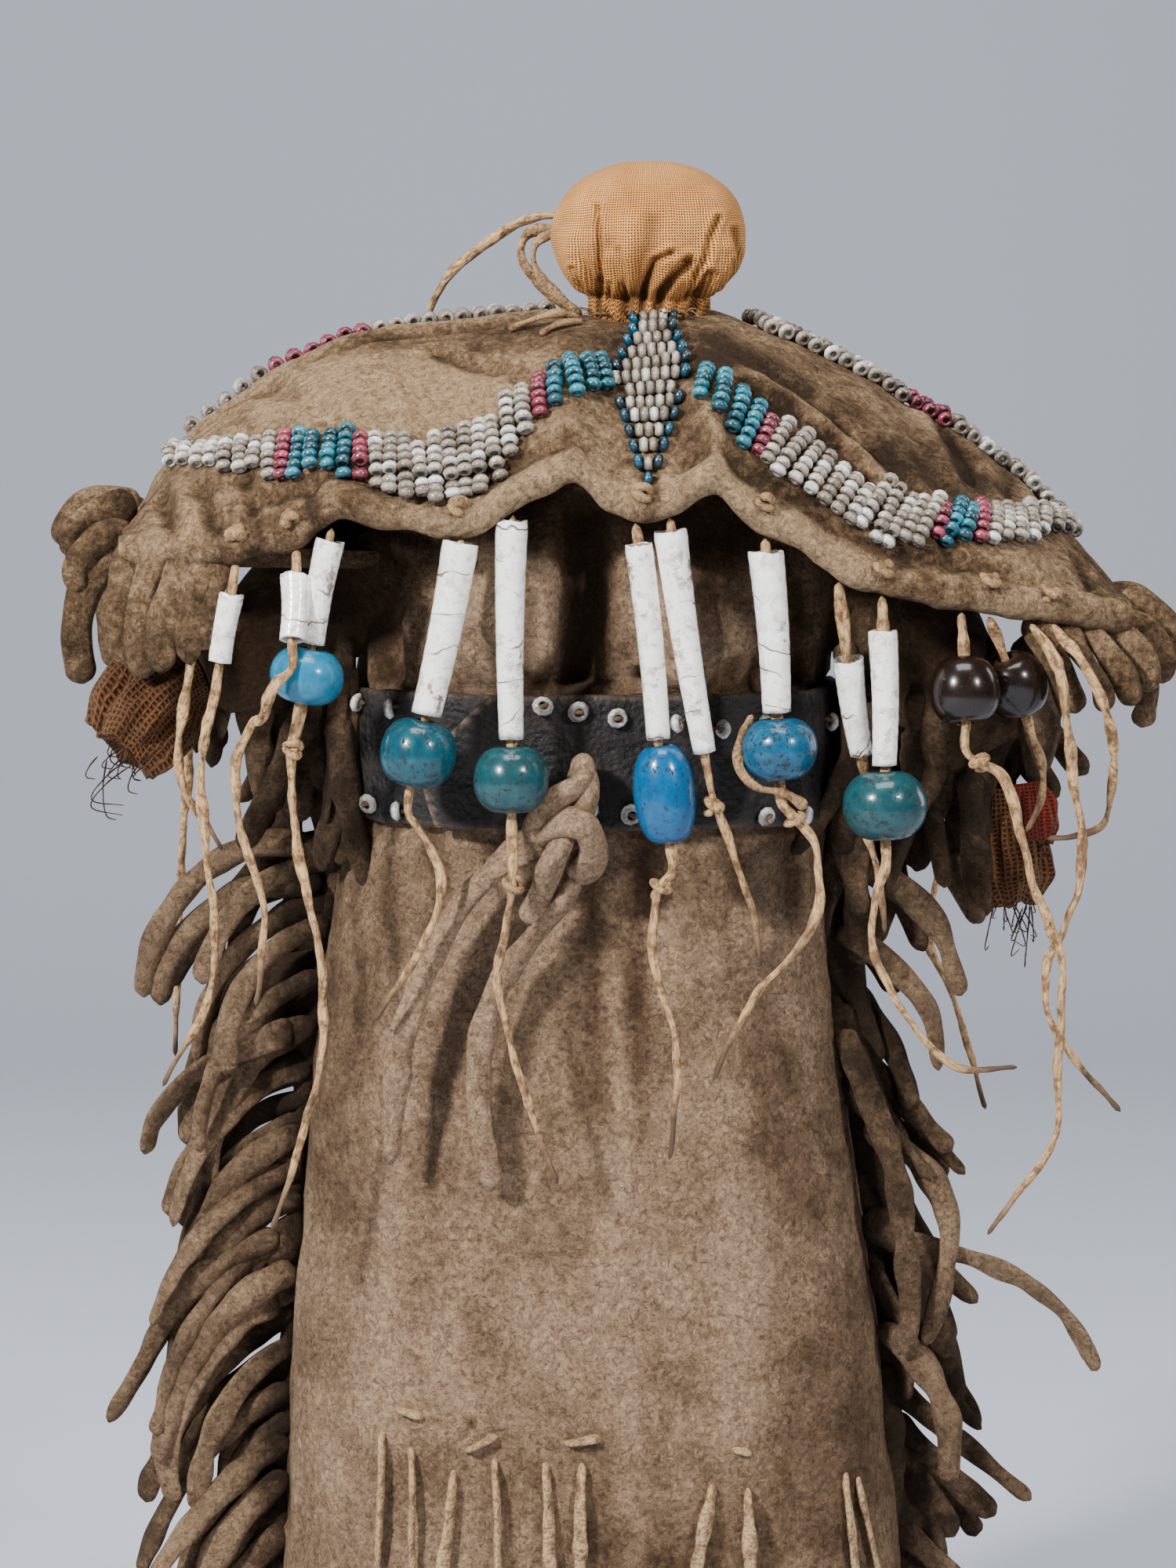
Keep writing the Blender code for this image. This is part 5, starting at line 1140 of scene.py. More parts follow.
def dress_ring_place(z, angle):
    """A spot on the smooth dress: angle 0 is the right side and 270 degrees the front."""
    low, high, deep = (read_line(line, z / MM) * MM for line in (LEFT_EDGE, RIGHT_EDGE, DEPTH))
    close = 1.0
    if z > SHOULDERS_FROM * MM:
        climbed = max(0.0, (z / MM - SHOULDERS_FROM) / (SHOULDERS_TO - SHOULDERS_FROM))
        close = math.sqrt(max(0.0, 1 - climbed ** 3.4))
    c, s = math.cos(angle), math.sin(angle)
    round_off = (abs(c) ** SQUARENESS + abs(s) ** SQUARENESS) ** (-1 / SQUARENESS)
    x = (low + high) / 2 + (high - low) / 2 * c * round_off * close
    return Vector((x, deep * s * round_off * close, z))


def dress_ring_frame(z, angle):
    """A spot on the smooth dress, a short way on round it, and the way straight out."""
    ahead = dress_ring_place(z, angle + 0.02) - dress_ring_place(z, angle - 0.02)
    return dress_ring_place(z, angle), ahead, ahead.cross(lift(1)).normalized()


def front_angle(x, z, steps):
    """The angle of the smooth dress's front at a place in metres, tried in so many steps a degree."""
    turns = (math.radians(step / steps) for step in range(180 * steps, 360 * steps + 1))
    return min(turns, key=lambda turn: abs(dress_ring_place(z, turn).x - x))


def dress_place(u, v):
    angle = math.tau * (u + 0.25)
    z = lerp(0, DRESS_TOP, v) * MM
    point, _, out = dress_ring_frame(z, angle)
    rise = 0.9 * MM * lumps(point, 26 * MM, 1) + 0.45 * MM * lumps(point, 9 * MM, 4) \
        + 0.16 * MM * lumps(point, 3 * MM, 8)
    # The belt draws the hide into small gathers, above and below it.
    from_belt = max(0.0, abs(z - WAIST_HEIGHT) - BELT_HEIGHT / 2)
    gather = math.exp(-from_belt / (5 * MM))
    rise += gather * MM * (0.7 * math.sin(23 * angle + 3 * lumps(point, 15 * MM, 2)) - 0.2)
    if point.y < 0:
        rise += fold_height(point.x, point.z, DRESS_FOLDS, MM, MM) * ease(-point.y / (9 * MM))
    rise = lerp(-0.6 * MM, rise, ease(from_belt / (2 * MM)))
    point += out * rise * ease(z / (1.5 * MM))
    # The hem turns in a little, and the shoulders stay under the yoke.
    point.x, point.y = (value * (1 - 0.03 * (1 - ease(z / (4 * MM)))) for value in (point.x, point.y))
    under = yoke_surface(point.x, max(-0.99, min(0.99, -point.y / rim_depth(point.x)))).z - 5.0 * MM
    point.z = min(point.z, under) if z > 228 * MM else point.z
    return point


# %% Make the dress
bm = new_shape()
bend_grid(bm, 250, 300, dress_place)
dress = add_piece("dress_hide", bm, SKIRT_HIDE, "smoked_hide", ["dress"])
# Dirt, pale places and painted light on the front, in millimetres: strength, then middle and reach. The
# two narrow streaks in the middle below the belt are painted shadows of the thongs, the band just under the
# yoke's rim and the patches at both sides of the chest are painted shade, and the pale spot on the left
# cushion is a painted highlight.
DRESS_STAINS_AND_SHADE = [
    (0.5, 0, 0, 60, 36), (-0.25, 5, 150, 26, 34), (1.6, 6, 163, 2.4, 24), (1.1, -1.5, 160, 1.6, 20),
    (-0.45, -38, 84, 18, 26), (-0.5, -8, 104, 18, 12),
    (0.6, 44, 60, 10, 40), (0.2, -20, 74, 30, 7), (-0.4, 24, 110, 12, 12), (0.6, 0, 242, 60, 9),
    (0.5, -48, 150, 6, 30), (-0.35, -24, 170, 12, 10), (0.45, 30, 140, 12, 14), (-0.3, -18, 226, 9, 9),
    (0.8, -50, 225, 14, 20), (0.8, 50, 225, 14, 20), (0.4, 2, 62, 12, 12), (-0.35, 14, 84, 20, 10),
]


def dress_stain_and_shade(point):
    total = 0.15 * lumps(point, 30 * MM, 5)
    for strength, x, z, reach_x, reach_z in DRESS_STAINS_AND_SHADE:
        total += strength * math.exp(-((point.x / MM - x) / reach_x) ** 2 - ((point.z / MM - z) / reach_z) ** 2)
    total *= 0.8 + 0.5 * lumps(point, 8 * MM, 3)
    # Painted shade in the folds' valleys and painted light on their ridges, weaker above the belt.
    if point.y < 0:
        valley = fold_height(point.x, point.z, DRESS_FOLDS, MM, MM) / MM
        total -= 0.7 * valley * (1 if point.z < WAIST_HEIGHT else 0.35)
    return max(-1.2, min(1.6, total))


paint(dress, "stain_and_shade", dress_stain_and_shade)
count(dress)


# %% The stuffed sleeves
def make_sleeve(name, line, seed):
    line = smooth_line(in_metres(line), 0.5 * MM)
    last = len(line) - 1
    places = frames(line)
    bm = new_shape()

    def place(u, v):
        point, across, other = places[round(v * last)]
        t = round(v * last) / last
        angle = math.tau * u
        radius = lerp(13, 10.3, t) * MM * (1 - 0.25 * ease((t - 0.96) / 0.04))
        spot = point + across * math.cos(angle) * radius * 1.12 + other * math.sin(angle) * radius
        ridge = math.sin(t * 15 + 2.2 * math.sin(angle + seed) + seed)
        rise = 1.6 * MM * lumps(spot, 9 * MM, seed) + 0.9 * MM * ridge + 0.4 * MM * lumps(spot, 3 * MM, seed)
        return spot + (spot - point).normalized() * rise

    bend_grid(bm, 90, last, place)
    sleeve = add_piece(name, bm, SKIRT_HIDE, "smoked_hide", ["dress"])
    # The sleeves lie under the yoke: painted shade darkens them all over, in uneven patches.
    paint(sleeve, "stain_and_shade", lambda point: 1.0 + 0.6 * lumps(point, 7 * MM, seed))
    return sleeve


sleeves = [
    make_sleeve("sleeve_left", [(-30, 1, 234), (-46, -2, 229), (-60, -7, 220), (-72, -12, 214.5)], 1),
    make_sleeve("sleeve_right", [(28, 1, 236), (46, -1, 227.5), (59.5, -4, 213.5), (68.5, -8, 198.5)], 5),
]
count(*sleeves)

# %% [markdown]
# ## The belt
# The belt is one long strap wound once round the waist, with its pointed end lapped over the front. The
# strap's section has softened edges, and the leather is worn pale where the lap ends. Two rows of single
# beads are sewn along the edges with brown thread.

# %% Make the belt
BELT_EDGE = BELT_THICKNESS / 2


def strap_section(u):
    """Round the strap: how far out from its middle and how high, in shares of half the height."""
    half = BELT_HEIGHT / 2 - BELT_EDGE
    if u < 0.40:
        return BELT_EDGE, lerp(-half, half, u / 0.40)
    if u < 0.5:
        turn = math.pi * (u - 0.40) / 0.1
        return math.cos(turn) * BELT_EDGE, half + math.sin(turn) * BELT_EDGE
    if u < 0.90:
        return -BELT_EDGE, lerp(half, -half, (u - 0.5) / 0.40)
    turn = math.pi * (1 + (u - 0.90) / 0.1)
    return math.cos(turn) * BELT_EDGE, -half + math.sin(turn) * BELT_EDGE


# Where the strap starts, how far it goes, and where it begins to climb over its own start.
BELT_START, BELT_WHOLE, LAP_FROM, LAP_CLIMB = (math.radians(turn) for turn in (322, 360 + 91, 346, 14))


def belt_place(u, v):
    """From under the lap on the right, leftwards round the back, and over the front again."""
    out, up = strap_section(u)
    # The end is cut to a point: long above, short below.
    share = up / BELT_HEIGHT * 2
    cut = math.radians(15) * max(0.0, share + 0.1) + math.radians(5) * max(0.0, -share - 0.1)
    turned = v * (BELT_WHOLE - cut * ease((v - 0.90) / 0.10))
    lap = ease((turned - LAP_FROM) / LAP_CLIMB) * BELT_THICKNESS * 1.12
    lap += 1.1 * MM * ease((v - 0.955) / 0.045)
    spot, _, normal = dress_ring_frame(WAIST_HEIGHT, BELT_START - turned)
    wave = 0.35 * MM * lumps(spot + lift(up), 9 * MM, 3) + 0.1 * MM * lumps(spot + lift(up), 2.5 * MM, 3)
    edge = 0.5 * MM * lumps(Vector((turned * 40 * MM, 0, 0)), 5 * MM, 2 if up > 0 else 9) * abs(share)
    return spot + normal * (0.2 * MM + BELT_EDGE + out + lap + wave) + lift(up + edge)


bm = new_shape()
bend_grid(bm, 60, 420, belt_place)
belt = add_piece("belt_strap", bm, BELT_LEATHER, "black_leather", ["belt"])
lap_edge = [belt_place(step / 24, 1.0) for step in range(25)]


def belt_wear(point):
    to_edge = abs(point.z - WAIST_HEIGHT) - BELT_HEIGHT / 2
    to_lap = min((point - spot).length for spot in lap_edge)
    return ease((to_edge + 1.3 * MM) / (1.2 * MM)) * (0.35 + 0.5 * lumps(point, 4 * MM, 2)) \
        + 1.3 * ease(1.4 - to_lap / (0.9 * MM))


paint(belt, "stain_and_shade", belt_wear)
count(belt)

# %% The belt's edge beads and their thread
EDGE_BEADS = [(-40.7, 209.1), (-35.7, 208.6), (-9.7, 210.0), (-4.3, 209.0), (2.7, 207.9), (11.9, 206.9),
              (19.3, 205.8), (26.5, 206.5), (38.0, 205.5), (-42.6, 193.0), (-39.0, 191.4), (-34.4, 190.7),
              (-24.0, 190.2), (-1.8, 192.0), (5.0, 191.1), (26.7, 190.2), (32.8, 189.8), (38.6, 190.4)]
bm, thread = bmesh.new(), new_shape()

# Each bead: the angle, the height, and whether the lap lies beneath it.
places = [(front_angle(x * MM, WAIST_HEIGHT, 1), z, -22 < x < 34) for x, z in EDGE_BEADS]
# The photograph shows only the front. Round the back the two rows go on, evenly spaced.
places += [(math.radians(step), z, False) for step in range(8, 176, 14) for z in (208.6, 191.2)]
for angle, z, lapped in places:
    spot, ahead, normal = dress_ring_frame(WAIST_HEIGHT, angle)
    ahead.normalize()
    spot = Vector((spot.x, spot.y, z * MM)) + normal * (BELT_THICKNESS * (2.12 if lapped else 1.0) + 1.1 * MM)
    facing = normal + ahead * dice.choice((-1.8, 0.2, 0.2, 1.8)) + lift(dice.uniform(-0.5, 0.5))
    stamp_bead(bm, spot, facing, "b", 1.75 * MM, 1.7 * MM)
    way = (ahead * dice.choice((-1, 1)) + lift(dice.uniform(-0.6, 0.6))).normalized() * 1.5 * MM
    route = [spot - way - normal * 1.0 * MM, spot - way * 0.3 + normal * 0.7 * MM,
             spot + way * 0.3 + normal * 0.75 * MM, spot + way - normal * 0.9 * MM]
    add_strand(thread, smooth_line(route, 0.25 * MM), 0.42 * MM, 0.9, 0.5, 6, 0.9)
add_piece("belt_edge_beads", bm, PONY_GLASS, "pale_pony_beads", ["belt"])
edge_thread = add_piece("belt_edge_thread", thread, RAWHIDE, "rawhide_thong", ["belt"])
paint(edge_thread, "stain_and_shade", lambda point: 0.75)

# %% The knot of the tie
# The tie's short end, the turn over it, the big loop below, and the strips that leave to the right and left.
TIE_TURNS = [
    [(-4.4, -36, 201.6), (-3.3, -38.5, 199.1), (-4.1, -40.8, 196.9), (-6.8, -41.6, 195.5), (-9.2, -41.0, 193.2),
     (-10.6, -39.8, 190.1), (-11.6, -38.8, 186.9), (-12.0, -36.6, 183.6)],
    [(-5.7, -36.6, 199.0), (-2.8, -38.6, 197.6), (-2.4, -40.2, 195.3), (-3.3, -40.2, 192.6), (-4.9, -38.4, 190.0)],
    [(-9.7, -36.8, 186.2), (-9.0, -40.2, 189.1), (-6.0, -42.8, 191.0), (-2.9, -42.6, 189.9), (-1.6, -40.8, 186.2),
     (-2.5, -38.8, 182.7), (-5.2, -36.6, 180.5)],
    [(-5.7, -40.2, 189.0), (-7.3, -41.6, 186.6), (-9.0, -40.6, 182.9), (-10.5, -38.8, 178.3), (-13.0, -37.4, 172.6)],
    [(-9.3, -38.0, 188.6), (-12.5, -38.4, 186.5), (-16.3, -37.6, 184.2), (-20.4, -37.0, 180.6)],
]
bm = new_shape()
for number, route in enumerate(TIE_TURNS):
    add_strand(bm, smooth_line(in_metres(route), 0.5 * MM), 3.05 * MM, 0.66, 0.3, 16, 0.98, 0.18, number,
               Vector((1, 0, 1)))
knot = add_piece("tie_knot", bm, SKIRT_HIDE, "smoked_hide", ["belt_tie_knot"])
paint(knot, "stain_and_shade", lambda point: -0.5 + 0.7 * lumps(point, 3 * MM, 2))
count(knot)


# %% [markdown]
# ## Cloth hands
# Each hand is a rag pushed up the cuff. It's a tube with pleats running out along it, pinched where it leaves
# the cuff and ragged at its end, with loose threads. The right hand has a small red rag beside the rust one.

# %% Make the hands
def make_hand(name, node, start, out, seed, threads, wide=8.8, long=19, droop=0.6, rounded=0.28,
              finish=RUST_CLOTH):
    start, out = Vector(start) * MM, Vector(out).normalized()
    bm = new_shape()
    # Past this share of the grid the cloth turns in at the rag's end.
    end = 0.94

    def place(u, t):
        angle = math.tau * u
        c, s = math.cos(angle), math.sin(angle)
        along = (out + lift(-droop * t)).normalized()
        across = along.cross(Vector((0, 1, 0))).normalized()
        deep = across.cross(along)
        swell = 0.72 + 0.36 * ease(t / 0.4) - rounded * ease((t - 0.7) / 0.3)
        inside = ease((t - end) / (1 - end))
        pleat = 0.10 * math.sin(5 * angle + seed + 3 * t) + 0.07 * math.sin(9 * angle + seed * 2 - 4 * t) \
            + 0.04 * math.sin(15 * angle + 5 * t)
        radius = wide * MM * swell * (1 + pleat * ease(t / 0.3 + 0.3)) * (1 - 0.85 * inside)
        ragged = 1.2 * MM * lumps(Vector((c, s, seed)), 0.4) * ease((t - 0.6) / 0.3)
        length = long * MM * min(t, end) / end - 0.16 * long * MM * inside
        spot = start + along * (length + ragged) + across * c * radius + deep * s * radius
        return spot + (spot - start).normalized() * 0.5 * MM * lumps(spot, 3 * MM, seed)

    bend_grid(bm, 130, 60, place)
    cloth = bm.loops.layers.uv.active
    for face in bm.faces:
        for loop in face.loops:
            loop[cloth].uv = loop[cloth].uv * Vector((6.3 * wide * MM, 1.25 * long * MM))
    tip = start + (out + lift(-0.8 * droop)).normalized() * 0.9 * long * MM
    for number in range(threads):
        root = tip + Vector([dice.uniform(-0.6, 0.6) * wide * MM for _ in range(3)])
        drop = dice.uniform(5, 11) * MM if number % 4 == 0 else dice.uniform(2, 6) * MM
        side = Vector((dice.uniform(-1, 1), dice.uniform(-1, 1), 0)) * drop * 0.6
        route = [root, root + out * drop * 0.3 + side * 0.6 + lift(-drop * 0.3),
                 root + out * drop * 0.4 + side + lift(-drop * 0.7), root + side * 0.5 + lift(-drop)]
        add_strand(bm, smooth_line(route, 0.6 * MM), 0.17 * MM, 0.8, 1.0, 5, 0.6)
    hand = add_piece(name, bm, finish, "rust_cloth", [node])
    paint(hand, "stain_and_shade", lambda point: 0.2 + 0.5 * max(0.0, lumps(point, 5 * MM, seed)))
    return hand


hands = [make_hand("rag_left", "cloth_hand_left", (-72.6, -12.2, 214.2), (-12, -5, -5.5), 2, 22),
         make_hand("rag_right", "cloth_hand_right", (71.4, -7.0, 193.0), (2.0, -1.5, -20), 6, 22, 6.2, 21,
                   0.1, 0.5),
         make_hand("rag_right_patch", "cloth_hand_right", (75.6, -9.0, 194.0), (1.0, -1.5, -9), 3, 4, 4.3, 10.5,
                   0.0, 0.3, RED_CLOTH)]
count(*hands)

# %% [markdown]
# ## Fringes
# The fringes are cut from the hide itself, so they're part of it. Each strip is a strand that sets off one
# way and bends steadily towards another. The side fringe's strips leave a seam and fall in uneven curls, and
# a few are given where the photograph shows one standing out.

# %% Helper for fringe strips
def curl_line(root, heading, turning, length, side, spacing=0.8 * MM):
    """A line that starts at an angle above level, in degrees, and turns by so many degrees as it goes."""
    steps = max(6, round(length / spacing))
    point, line = Vector(root), [Vector(root)]
    for step in range(steps):
        t = (step + 0.5) / steps
        angle = math.radians(heading + turning * t ** 0.8)
        wander = 0.30 * lumps(point, 11 * MM, 3)
        point = point + Vector((math.cos(angle) * side.x, math.cos(angle) * side.y + wander, math.sin(angle))) \
            * (length / steps)
        line.append(point.copy())
    return line


def add_strip(bm, line, half, seed):
    line = [p for p in line if p.z > 1.2 * MM]
    if len(line) > 6:
        # The strip's flat side mostly faces the front or the back.
        face = (line[1] - line[0]).cross(Vector((dice.uniform(-0.3, 0.3), 1, dice.uniform(-0.5, 0.5))))
        add_strand(bm, line, half, dice.uniform(0.40, 0.62), dice.uniform(-0.22, 0.22), 12,
                   dice.uniform(0.6, 0.95), 0.20, seed, face, dice.uniform(-0.35, 0.35))


# %% The side fringes
def make_side_fringe(name, side, edge, count_of, outliers, seed):
    bm = new_shape()
    seam = [Vector((read_line(edge, z) * MM + side * 0.6 * MM, -3 * MM, z * MM)) for z in range(8, 188, 6)]
    add_strand(bm, smooth_line(seam, 1.2 * MM), 2.4 * MM, 0.8, 0.0, 12, 1.0, 0.25, seed)
    for number in range(count_of):
        share = (number + dice.uniform(0.1, 0.9)) / count_of
        z = lerp(186, 16, share)
        forward = dice.uniform(-0.45, 0.10) if number % 3 else dice.uniform(0.0, 0.5)
        root = Vector((read_line(edge, z) * MM - side * 0.4 * MM, dice.uniform(-8, 0) * MM, z * MM))
        # On the left the strips arch out over one another. On the right they hang closer and more unevenly.
        if side < 0:
            heading = lerp(14, -52, share ** 0.8) + dice.uniform(-9, 9)
            turning = -lerp(95, 32, share) - dice.uniform(-12, 12)
            length = lerp(40, 43, share) * dice.uniform(0.85, 1.12) * MM
        else:
            heading = lerp(-48, -60, share) + dice.uniform(-28, 28)
            turning = -dice.uniform(-10, 60)
            length = 30 * dice.uniform(0.75, 1.3) * MM
        line = curl_line(root, heading, turning, length, Vector((side, forward, 0)))
        add_strip(bm, line, dice.uniform(2.1, 3.0) * MM, seed + number)
    for number, route in enumerate(outliers):
        add_strip(bm, smooth_line(in_metres(route), 0.8 * MM), 2.5 * MM, seed + number + 70)
    fringe = add_piece(f"{name}_strips", bm, FRINGE_HIDE, "dark_fringe_hide", [name])

    def fringe_tone_and_shade(point):
        # The strips in front are paler than those behind them and all are dark near the seam, both painted
        # shade. Soft patches of tone go over it.
        near_seam = ease(1 - (abs(point.x) - 46 * MM) / (20 * MM))
        behind = ease((point.y + 13 * MM) / (10 * MM))
        return 0.5 * lumps(point, 9 * MM, seed) + 0.25 * lumps(point, 3 * MM, seed) - 0.35 \
            + 0.9 * near_seam + 1.1 * behind

    paint(fringe, "stain_and_shade", fringe_tone_and_shade)
    return fringe


LEFT_OUTLIERS = [
    [(-50, -8, 182), (-61, -9, 183), (-71, -10, 178), (-77.5, -10, 170), (-81, -9, 162), (-82, -8, 155.5)],
    [(-50, -6, 176), (-62, -8, 175), (-72, -9, 169), (-78, -8, 161), (-79, -8, 154)],
    [(-55, -8, 150), (-61, -10, 148), (-73, -10, 142), (-80, -9, 134), (-82, -8, 127)],
    [(-58, -6, 112), (-68, -9, 108), (-77, -10, 99), (-83, -9, 88), (-89, -8, 78)],
    [(-58, -6, 100), (-66, -10, 96), (-74, -12, 86), (-78, -12, 74), (-77, -11, 64)],
]
RIGHT_OUTLIERS = [
    [(43, -10, 150), (47, -15, 140), (52, -17, 126), (54, -17, 112), (55, -16, 99), (53, -15, 92)],
    [(47, -8, 132), (57, -12, 126), (62, -13, 116), (61, -13, 104), (58, -12, 93)],
    [(50, -6, 112), (62, -10, 110), (74, -12, 106), (83, -12, 99), (88, -11, 91), (88, -10, 88)],
    [(50, -8, 96), (57, -12, 90), (62, -12, 80), (62.5, -12, 68)],
    [(42, -8, 168), (50, -12, 163), (58, -13, 154), (60, -13, 143)],
    [(41, -8, 180), (52, -10, 176), (60, -10, 168), (64, -10, 156)],
]
fringes = [make_side_fringe("side_fringe_left", -1, LEFT_EDGE, 54, LEFT_OUTLIERS, 11),
           make_side_fringe("side_fringe_right", 1, RIGHT_EDGE, 50, RIGHT_OUTLIERS, 31)]
count(*fringes)

# %% The strips under the sleeves
def make_sleeve_fringe(name, side, roots, seed):
    """A root gives x, the height where the strip leaves the sleeve, and how low it hangs, in millimetres."""
    bm = new_shape()
    for number, (x, top, low) in enumerate(roots):
        root = Vector((x, dice.uniform(-17, -3), top)) * MM
        heading = -90 + dice.uniform(-16, 16) + (16 if abs(x) > 72 else 0)
        line = curl_line(root, heading, dice.uniform(-30, 30), (top - low) * 1.05 * MM,
                         Vector((side, dice.uniform(-0.3, 0.3), 0)))
        add_strip(bm, line, dice.uniform(2.2, 3.2) * MM, seed + number)
    strips = add_piece(name, bm, FRINGE_HIDE, "dark_fringe_hide", ["dress"])
    # The strips under the sleeves are painted darker all over, as painted shade, in uneven patches.
    paint(strips, "stain_and_shade", lambda point: 0.7 + 0.6 * lumps(point, 7 * MM, seed))
    return strips


LEFT_ROOTS = [(-69, 216, 200), (-66, 216, 197), (-63, 217, 196), (-60, 217, 193), (-57, 218, 192), (-54, 218, 190),
              (-51, 219, 191), (-48.5, 219, 188), (-46, 219, 189), (-66, 219, 203), (-58, 220, 198), (-50, 220, 194),
              (-46.5, 222, 182), (-45.5, 216, 180), (-49.5, 216, 182), (-52.5, 214, 186), (-55.5, 212, 188),
              (-61.5, 212, 190), (-71, 212, 200),
              (-46.5, 207, 177), (-50, 206, 178), (-53.5, 206, 180), (-57, 207, 184),
              (-46, 196, 168), (-49, 197, 170), (-52, 197, 172)]
RIGHT_ROOTS = [(43, 216, 190), (46, 215, 186), (49, 214, 184), (52, 212, 180), (55, 211, 177), (58, 209, 178),
               (61, 207, 179), (64, 205, 181), (67, 204, 184), (71, 206, 190), (75, 209, 196), (45, 219, 196),
               (51, 217, 190), (57, 214, 186), (63, 211, 188), (70, 210, 196), (78, 212, 200), (42.5, 220, 184),
              (43.5, 212, 181), (47.5, 209, 180), (62, 221, 198), (66, 221, 195), (70, 221, 197), (74, 221, 200),
              (78, 221, 203), (68, 214, 189), (73, 214, 192), (64, 216, 190), (60, 203, 178), (56, 205, 176),
              (62, 206, 182), (66, 206, 186), (69, 207, 188), (72, 207, 190), (75, 208, 192),
              (77, 211, 194), (76, 214, 197), (41.5, 196, 172),
               (43.5, 196, 165), (46.5, 197, 163), (49.5, 196, 164), (53, 196, 166), (57, 195, 168),
               (61, 196, 170), (65, 197, 173)]
count(make_sleeve_fringe("sleeve_strips_left", -1, LEFT_ROOTS, 90),
      make_sleeve_fringe("sleeve_strips_right", 1, RIGHT_ROOTS, 120))

# %% The strips at the yoke's two ends
END_STRIPS = [
    [(-82, -12, 243), (-88, -15, 243), (-93, -16, 240), (-94, -16, 235)],
    [(-82, -18, 240), (-88, -21, 238), (-92, -22, 233), (-91, -22, 229)],
    [(-82, -4, 243), (-90, -5, 244), (-95, -5, 240), (-96, -5, 236)],
    [(-81, 6, 242), (-89, 8, 242), (-94, 9, 237), (-95, 9, 231)],
    [(-80, 16, 240), (-87, 19, 239), (-92, 20, 233), (-92, 20, 226)],
    [(-80, -25, 238), (-83, -29, 232), (-84, -30, 224), (-82, -30, 217)],
    [(-76, -29, 237), (-79, -33, 231), (-80, -34, 223), (-79, -34, 215)],
    [(-72, -31, 237), (-74, -35, 231), (-76, -36, 223), (-76, -36, 216)],
    [(-69, -32, 237), (-70, -36, 231), (-71.5, -37, 224), (-71, -37, 217.5)],
    [(-66, -33, 237), (-66.5, -36, 232), (-68, -37, 226), (-69, -37, 220)],
    [(-83, -8, 238), (-90, -10, 232), (-93, -11, 222), (-92, -11, 212)],
    [(-82, 10, 238), (-88, 12, 230), (-90, 13, 221), (-89, 13, 213)],
    [(88, -12, 226), (94, -16, 226), (99, -17, 222), (101, -17, 217)],
    [(88, -18, 225), (94, -21, 223), (98, -22, 218), (98, -22, 213)],
    [(88, -4, 227), (95, -6, 227), (100, -7, 223), (102, -7, 218)],
    [(88, 6, 227), (94, 8, 226), (99, 9, 221), (101, 9, 214)],
    [(87, 15, 226), (93, 18, 223), (97, 19, 217), (97, 19, 210)],
    [(85, -23, 226), (90, -27, 222), (94, -28, 217), (95, -28, 212)],
    [(81, -27, 226), (86, -31, 221), (90, -32, 215), (92, -32, 210)],
    [(78, -29, 226), (82, -33, 220), (86, -34, 214), (87, -34, 209)],
    [(74, -30, 226), (77, -34, 220), (80, -35, 214), (82, -35, 209)],
    [(89, 0, 224), (95, 1, 218), (98, 2, 210), (97, 2, 203)],
]
bm = new_shape()
for number, route in enumerate(END_STRIPS):
    line = smooth_line(in_metres(route), 0.6 * MM)
    face = (line[1] - line[0]).cross(Vector((dice.uniform(-0.3, 0.3), 1, dice.uniform(-0.3, 0.3))))
    add_strand(bm, line, dice.uniform(2.4, 3.0) * MM, 0.62, dice.uniform(-0.15, 0.15), 14, 0.95, 0.22,
               number + 50, face)
end_strips = add_piece("yoke_end_strips", bm, YOKE_HIDE, "sooty_hide", ["yoke"])
paint(end_strips, "stain_and_shade", lambda point: 0.35 + 0.5 * lumps(point, 12 * MM, 2))
count(end_strips)

# %% [markdown]
# ## Small ends of thong
# Low on the skirt a row of thongs is laced through the hide. Four flat stitches and ten short ends show. Two
# cord ends, a loop and some frayed sinew stick out beside the neck, one thong holds the right teal bead from
# below, and every second thong at the front shows its knot on the rim.

# %% Make the small ends
# Both ends of each stitch, and each thong end: where it starts, and across to where it hangs. In millimetres.
STITCHES = [(-35.6, 85.6, -32.2, 84.8), (-23.6, 79.0, -19.0, 81.6), (-6.2, 80.6, -0.6, 81.6),
            (23.2, 79.2, 25.8, 78.6)]
ENDS = [(-38.8, 80.6, -39.6), (-33.6, 77.8, -33.0), (-26.2, 73.9, -28.6), (-18.9, 76.5, -17.6), (-9.8, 75.8, -9.0),
        (-3.7, 75.8, -4.0), (19.4, 72.3, 13.6), (25.6, 70.9, 26.2), (43.1, 71.6, 46.5), (45.5, 70.9, 51.0)]


def skirt_front(x, z):
    """How far back the front of the smooth skirt lies at a place, in metres."""
    return dress_ring_place(z, front_angle(x, z, 2)).y


